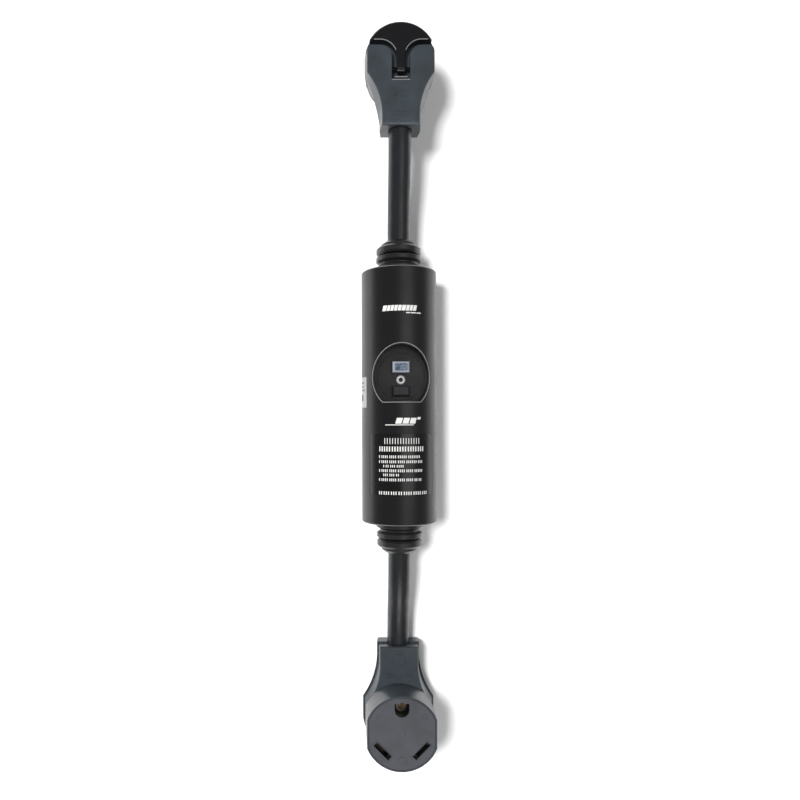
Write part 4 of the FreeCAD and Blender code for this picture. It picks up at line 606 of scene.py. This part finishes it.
def flat_ring(name, centre, level, inner_mm, outer_mm, rise_mm, finish, sides=48):
    """A low raised ring, as a mould's ejector leaves."""
    mesh = bmesh.new()
    rings = []
    for radius, height in (
        (inner_mm, -ROOT_MM),
        (inner_mm, rise_mm * 0.6),
        ((inner_mm * 2 + outer_mm) / 3, rise_mm),
        ((inner_mm + outer_mm * 2) / 3, rise_mm),
        (outer_mm, rise_mm * 0.6),
        (outer_mm, -ROOT_MM),
    ):
        rings.append(
            [
                mesh.verts.new(
                    (
                        centre[0] + radius * MM * math.cos(2 * math.pi * i / sides),
                        centre[1] + radius * MM * math.sin(2 * math.pi * i / sides),
                        level + height * MM,
                    )
                )
                for i in range(sides)
            ]
        )
    for a, b in zip(rings, rings[1:] + rings[:1]):
        for i in range(sides):
            k = (i + 1) % sides
            mesh.faces.new((a[i], a[k], b[k], b[i]))
    bmesh.ops.recalc_face_normals(mesh, faces=mesh.faces)
    return mesh_piece(name, mesh, finish)


RING_WIDTH_MM = 0.35
RING_RISE_MM = 0.06
face_centre = ((face_low.x + face_high.x) / 2, (face_low.y + face_high.y) / 2)
for name, across, up, size in (
    ("face_mark_middle", 0.0, 0.5, 2.6),
    ("face_mark_end", 0.0, -20.0, 3.3),
    ("face_mark_right", 17.0, 13.0, 2.0),
    ("face_mark_left", -17.0, 13.0, 2.0),
):
    place = (face_centre[0] + across * MM, face_centre[1] + up * MM)
    flat_ring(
        name, place, face_high.z, size - RING_WIDTH_MM, size, RING_RISE_MM, face_plastic
    )


BAR_SLOPE_MM = 0.12


def raised_bars(name, bars, level, rise_mm, finish):
    """Low raised bars on a flat face: left, right, low and high in millimetres."""
    mesh = bmesh.new()
    for left, right, low, high, lean in bars:
        foot = [(left, low), (right, low), (right + lean, high), (left + lean, high)]
        crown = [
            (left + BAR_SLOPE_MM, low + BAR_SLOPE_MM),
            (right - BAR_SLOPE_MM, low + BAR_SLOPE_MM),
            (right + lean - BAR_SLOPE_MM, high - BAR_SLOPE_MM),
            (left + lean + BAR_SLOPE_MM, high - BAR_SLOPE_MM),
        ]
        under = [mesh.verts.new((x * MM, y * MM, level - ROOT_MM * MM)) for x, y in foot]
        top = [mesh.verts.new((x * MM, y * MM, level + rise_mm * MM)) for x, y in crown]
        for i in range(4):
            k = (i + 1) % 4
            mesh.faces.new((under[i], under[k], top[k], top[i]))
        mesh.faces.new(under[::-1])
        mesh.faces.new(top)
    bmesh.ops.recalc_face_normals(mesh, faces=mesh.faces)
    return mesh_piece(name, mesh, finish)


# Moulded marks on the plug's back and the connector's neck, as plain bars and a ring.
MARK_RISE_MM = 0.14
raised_bars(
    "plug_moulded_bars",
    words(220.4, 222.4, -2.8, [2.4, 2.4], 0.8)
    + words(217.0, 219.0, -4.8, [1.8, 2.6, 1.8, 1.4], 0.8)
    + words(205.6, 206.4, -8.6, [4.0, 3.0, 4.6, 3.0], 0.8)
    + words(203.4, 204.0, -6.0, [12.0]),
    pads_level,
    MARK_RISE_MM,
    head_vinyl,
)
# The front body's neck is as deep as the back cover, so its flat is at twice the cover's height.
front_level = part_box("connector_back_cover")[1].z * 2
raised_bars(
    "connector_moulded_bars",
    words(-217.2, -214.6, -9.4, [2.6, 1.8, 2.6, 2.0, 2.6, 1.6, 2.6], 0.8),
    front_level,
    MARK_RISE_MM,
    head_vinyl,
)
NECK_MARK_PLACE = (0.0, -203.8 * MM)
flat_ring("connector_neck_mark", NECK_MARK_PLACE, front_level, 4.5, 4.9, 0.08, head_vinyl)


FRAME_GAP_MM = 0.05
FRAME_SLOPE_MM = 0.15


def slot_frame(name, centre, turn, half_long, half_wide, width_mm, rise_mm):
    """A low raised frame round a blade slot, with its own sloping sides."""
    mesh = bmesh.new()
    loops = []
    for grow, rise in (
        (FRAME_GAP_MM, -ROOT_MM),
        (FRAME_GAP_MM, rise_mm),
        (width_mm - FRAME_SLOPE_MM, rise_mm),
        (width_mm, -ROOT_MM),
    ):
        loop = []
        for sx, sy in ((1, 1), (-1, 1), (-1, -1), (1, -1)):
            x, y = sx * (half_long + grow), sy * (half_wide + grow)
            loop.append(
                mesh.verts.new(
                    (
                        centre[0] + (x * math.cos(turn) - y * math.sin(turn)) * MM,
                        centre[1] + (x * math.sin(turn) + y * math.cos(turn)) * MM,
                        face_high.z + rise * MM,
                    )
                )
            )
        loops.append(loop)
    for a, b in zip(loops, loops[1:] + loops[:1]):
        for i in range(4):
            k = (i + 1) % 4
            mesh.faces.new((a[i], a[k], b[k], b[i]))
    bmesh.ops.recalc_face_normals(mesh, faces=mesh.faces)
    return mesh_piece(name, mesh, face_plastic)


SLOT_HALF_LONG = 7.6
SLOT_HALF_WIDE = 1.9
SLOT_FRAME_WIDTH_MM = 0.9
SLOT_FRAME_RISE_MM = 0.16
SLOT_SIDE = 14.4 * MM
SLOT_FORWARD = 12.3 * MM
for name, sign in (("slot_frame_left", -1), ("slot_frame_right", 1)):
    place = (face_centre[0] + sign * SLOT_SIDE, face_centre[1] - SLOT_FORWARD)
    slot_frame(
        name,
        place,
        sign * math.pi / 4,
        SLOT_HALF_LONG,
        SLOT_HALF_WIDE,
        SLOT_FRAME_WIDTH_MM,
        SLOT_FRAME_RISE_MM,
    )

# The panel's lip, a polished bead which lies on the round housing; its pale colour is a painted highlight.
panel_low, panel_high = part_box("control_panel")
LIP_RADIUS = 0.32 * MM
LIP_SINK = LIP_RADIUS * 0.6
LIP_INSET = 0.4 * MM
PANEL_HALF_LENGTH = 25.0 * MM
lip_half_width = (panel_high.x - panel_low.x) / 2 - LIP_INSET
lip_half_length = PANEL_HALF_LENGTH - LIP_INSET
lip_centre = panel_high.y - PANEL_HALF_LENGTH
lip_flat = panel_low.y + LIP_INSET
LIP_STEPS = 96
start = math.asin((lip_flat - lip_centre) / lip_half_length)
rounds = [start + (math.pi - 2 * start) * i / LIP_STEPS for i in range(LIP_STEPS + 1)]
outline = [
    (lip_half_width * math.cos(a), lip_centre + lip_half_length * math.sin(a)) for a in rounds
]
FLAT_STEPS = 16
left_end, right_end = outline[-1][0], outline[0][0]
outline += [
    (left_end + (right_end - left_end) * i / FLAT_STEPS, lip_flat) for i in range(1, FLAT_STEPS)
]


def bead(name, points, radius, closed, body):
    """A thin round bead of polished plastic along points, in metres, bevelled as a lead is; its pale colour
    is a painted highlight.
    """
    line = bpy.data.curves.new(name, "CURVE")
    line.dimensions = "3D"
    line.bevel_depth = 1.0
    line.bevel_resolution = 4
    line.use_fill_caps = True
    spline = line.splines.new("POLY")
    spline.points.add(len(points) - 1)
    spline.use_cyclic_u = closed
    for point, place in zip(spline.points, points):
        point.co = (*place, 1.0)
        point.radius = radius
    piece = bpy.data.objects.new(name, line)
    scene.collection.objects.link(piece)
    line.materials.append(edge_highlight_plastic)
    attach(piece, body)
    return piece


bead(
    "panel_lip_painted_highlight",
    [(x, y, AXIS_LEVEL + math.sqrt(TUBE_RADIUS**2 - x * x) - LIP_SINK) for x, y in outline],
    LIP_RADIUS,
    True,
    "body",
)

# The bright edge at each end of the tube: a pale bead whose colour is a painted highlight on the tube's
# chamfer.
RIM_RADIUS = 0.28 * MM
RIM_INSET = 0.55 * MM
RIM_STEPS = 96
RIM_REACH = TUBE_RADIUS - RIM_INSET
for name, y in (
    ("line_rim_edge", tube_high.y - RIM_INSET),
    ("load_rim_edge", tube_low.y + RIM_INSET),
):
    turns = [2 * math.pi * i / RIM_STEPS for i in range(RIM_STEPS)]
    circle = [(RIM_REACH * math.sin(a), y, AXIS_LEVEL + RIM_REACH * math.cos(a)) for a in turns]
    bead(name, circle, RIM_RADIUS, True, "body")


# Pale beads as painted highlights on the handle's two sweeps, and on the step and the lip at its channel's
# end.
SWEEP = 12.0 * MM
SWEEP_X = 15.0 * MM
SWEEP_Y = 246.6 * MM
EDGE_END = 19.5 * MM
EDGE_RADIUS = 0.3 * MM
EDGE_SINK = 0.2 * MM
edge_reach = SWEEP + EDGE_SINK
edge_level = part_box("plug_handle")[1].z - EDGE_SINK
for name, side in (("handle_edge_left", -1), ("handle_edge_right", 1)):
    sweep = []
    for degrees in range(20, 91, 5):
        angle = math.radians(degrees)
        x = SWEEP_X - edge_reach * math.cos(angle)
        y = SWEEP_Y + edge_reach * math.sin(angle)
        sweep.append((side * x, y, edge_level))
    sweep.append((side * EDGE_END, SWEEP_Y + edge_reach, edge_level))
    bead(name, sweep, EDGE_RADIUS, False, "handle")
# The step stands on a rib, from STEP_START to STEP_END along the head, in millimetres.
RIB_TOP = 53.3 * MM
STEP_START = 230.9
STEP_END = 231.9
STEP_RISE_MM = 2.2
STEP_EDGE_PLACE = 231.6 * MM
CHANNEL_END_PLACE = 229.5 * MM
CHANNEL_EDGE_SINK = 0.05 * MM
step_bar = words(STEP_START, STEP_END, -5.0, [10.0])
raised_bars("channel_step", step_bar, RIB_TOP, STEP_RISE_MM, head_vinyl)
for name, half, y, z in (
    ("channel_rib_edge", 4.8 * MM, STEP_EDGE_PLACE, RIB_TOP + STEP_RISE_MM * MM),
    ("channel_end_edge", 6.6 * MM, CHANNEL_END_PLACE, pads_level - CHANNEL_EDGE_SINK),
):
    bead(name, [(-half, y, z), (half, y, z)], EDGE_RADIUS, False, "body")


INSERT_CORNER = 1.1 * MM
CORNER_STEPS = 6
# The insert's layers: the share of its outline, and the height over the button in millimetres.
INSERT_LAYERS = ((1.0, -0.05), (1.0, 0.06), (0.93, 0.12))


def button_insert(name, low, high, body, finish, margin_mm):
    """A thin textured insert set on a button's top, with rounded corners."""
    mesh = bmesh.new()
    corner = INSERT_CORNER
    inset = margin_mm * MM
    x0, x1 = low.x + inset, high.x - inset
    y0, y1 = low.y + inset, high.y - inset
    outline = []
    for cx, cy, start in (
        (x1 - corner, y1 - corner, 0),
        (x0 + corner, y1 - corner, 90),
        (x0 + corner, y0 + corner, 180),
        (x1 - corner, y0 + corner, 270),
    ):
        for i in range(CORNER_STEPS + 1):
            angle = math.radians(start + 90 * i / CORNER_STEPS)
            outline.append((cx + corner * math.cos(angle), cy + corner * math.sin(angle)))
    middle = ((x0 + x1) / 2, (y0 + y1) / 2)
    layers = []
    for share, rise in INSERT_LAYERS:
        layers.append(
            [
                mesh.verts.new(
                    (
                        middle[0] + (x - middle[0]) * share,
                        middle[1] + (y - middle[1]) * share,
                        high.z + rise * MM,
                    )
                )
                for x, y in outline
            ]
        )
    for a, b in zip(layers, layers[1:]):
        for i in range(len(outline)):
            k = (i + 1) % len(outline)
            mesh.faces.new((a[i], a[k], b[k], b[i]))
    mesh.faces.new(layers[0][::-1])
    mesh.faces.new(layers[-1])
    bmesh.ops.recalc_face_normals(mesh, faces=mesh.faces)
    return mesh_piece(name, mesh, finish, body)


RESET_MARGIN_MM = 2.3
TEST_MARGIN_MM = 2.1
button_insert(
    "reset_grip_insert", reset_low, reset_high, "reset", grip_speckle, RESET_MARGIN_MM
)
button_insert("test_grip_insert", test_low, test_high, "test", test_plastic, TEST_MARGIN_MM)

# ---------------------------------------------------------------- studio
FLOOR_HALF = 3.0
floor_mesh = bmesh.new()
bmesh.ops.create_grid(floor_mesh, x_segments=8, y_segments=8, size=FLOOR_HALF)
floor_data = bpy.data.meshes.new("studio_floor")
floor_mesh.to_mesh(floor_data)
floor_mesh.free()
floor = bpy.data.objects.new("studio_floor", floor_data)
scene.collection.objects.link(floor)
floor_finish, floor_tree, floor_shader, floor_place = blank("floor_matt_white_card")
fibre = add_node(
    floor_tree,
    "ShaderNodeTexNoise",
    {"Vector": floor_place, "Scale": per_metre(2.0), "Detail": 3.0},
)
card = add_node(
    floor_tree,
    "ShaderNodeMix",
    {0: fibre.outputs["Fac"], 6: linear("#f4f4f4"), 7: linear("#f8f8f8")},
    data_type="RGBA",
)
floor_tree.links.new(card.outputs[2], floor_shader.inputs["Base Color"])
floor_shader.inputs["Roughness"].default_value = 0.9
floor_data.materials.append(floor_finish)


def soft_light(name, place, aim, size, power, glossy=True):
    """A square soft light that faces its aim."""
    data = bpy.data.lights.new(name, "AREA")
    data.shape = "SQUARE"
    data.size = size
    data.energy = power
    light = bpy.data.objects.new(name, data)
    light.location = place
    scene.collection.objects.link(light)
    direction = [a - b for a, b in zip(aim, place)]
    light.rotation_mode = "QUATERNION"
    light.rotation_quaternion = Vector(direction).to_track_quat("-Z", "Y")
    light.visible_glossy = glossy


# The key gives the shadow on the right and no highlight; the two boxes give the soft highlights.
soft_light("key_light", (-0.68, 0.2, 1.65), (0.0, 0.0, 0.0), 0.5, 48.0, glossy=False)
soft_light("fill_box", (0.5, 0.1, 1.3), (0.0, 0.0, 0.0), 0.9, 2.4)
soft_light("front_box", (0.1, -1.3, 0.9), (0.0, 0.0, 0.05), 0.7, 5.0)

world = bpy.data.worlds.new("studio_world")
world.use_nodes = True
sky = world.node_tree.nodes["Background"]
sky.inputs["Color"].default_value = (1.0, 1.0, 1.0, 1.0)
sky.inputs["Strength"].default_value = 0.2
scene.world = world
scene.view_settings.view_transform = "Standard"
scene.view_settings.look = "None"

bpy.context.view_layer.update()
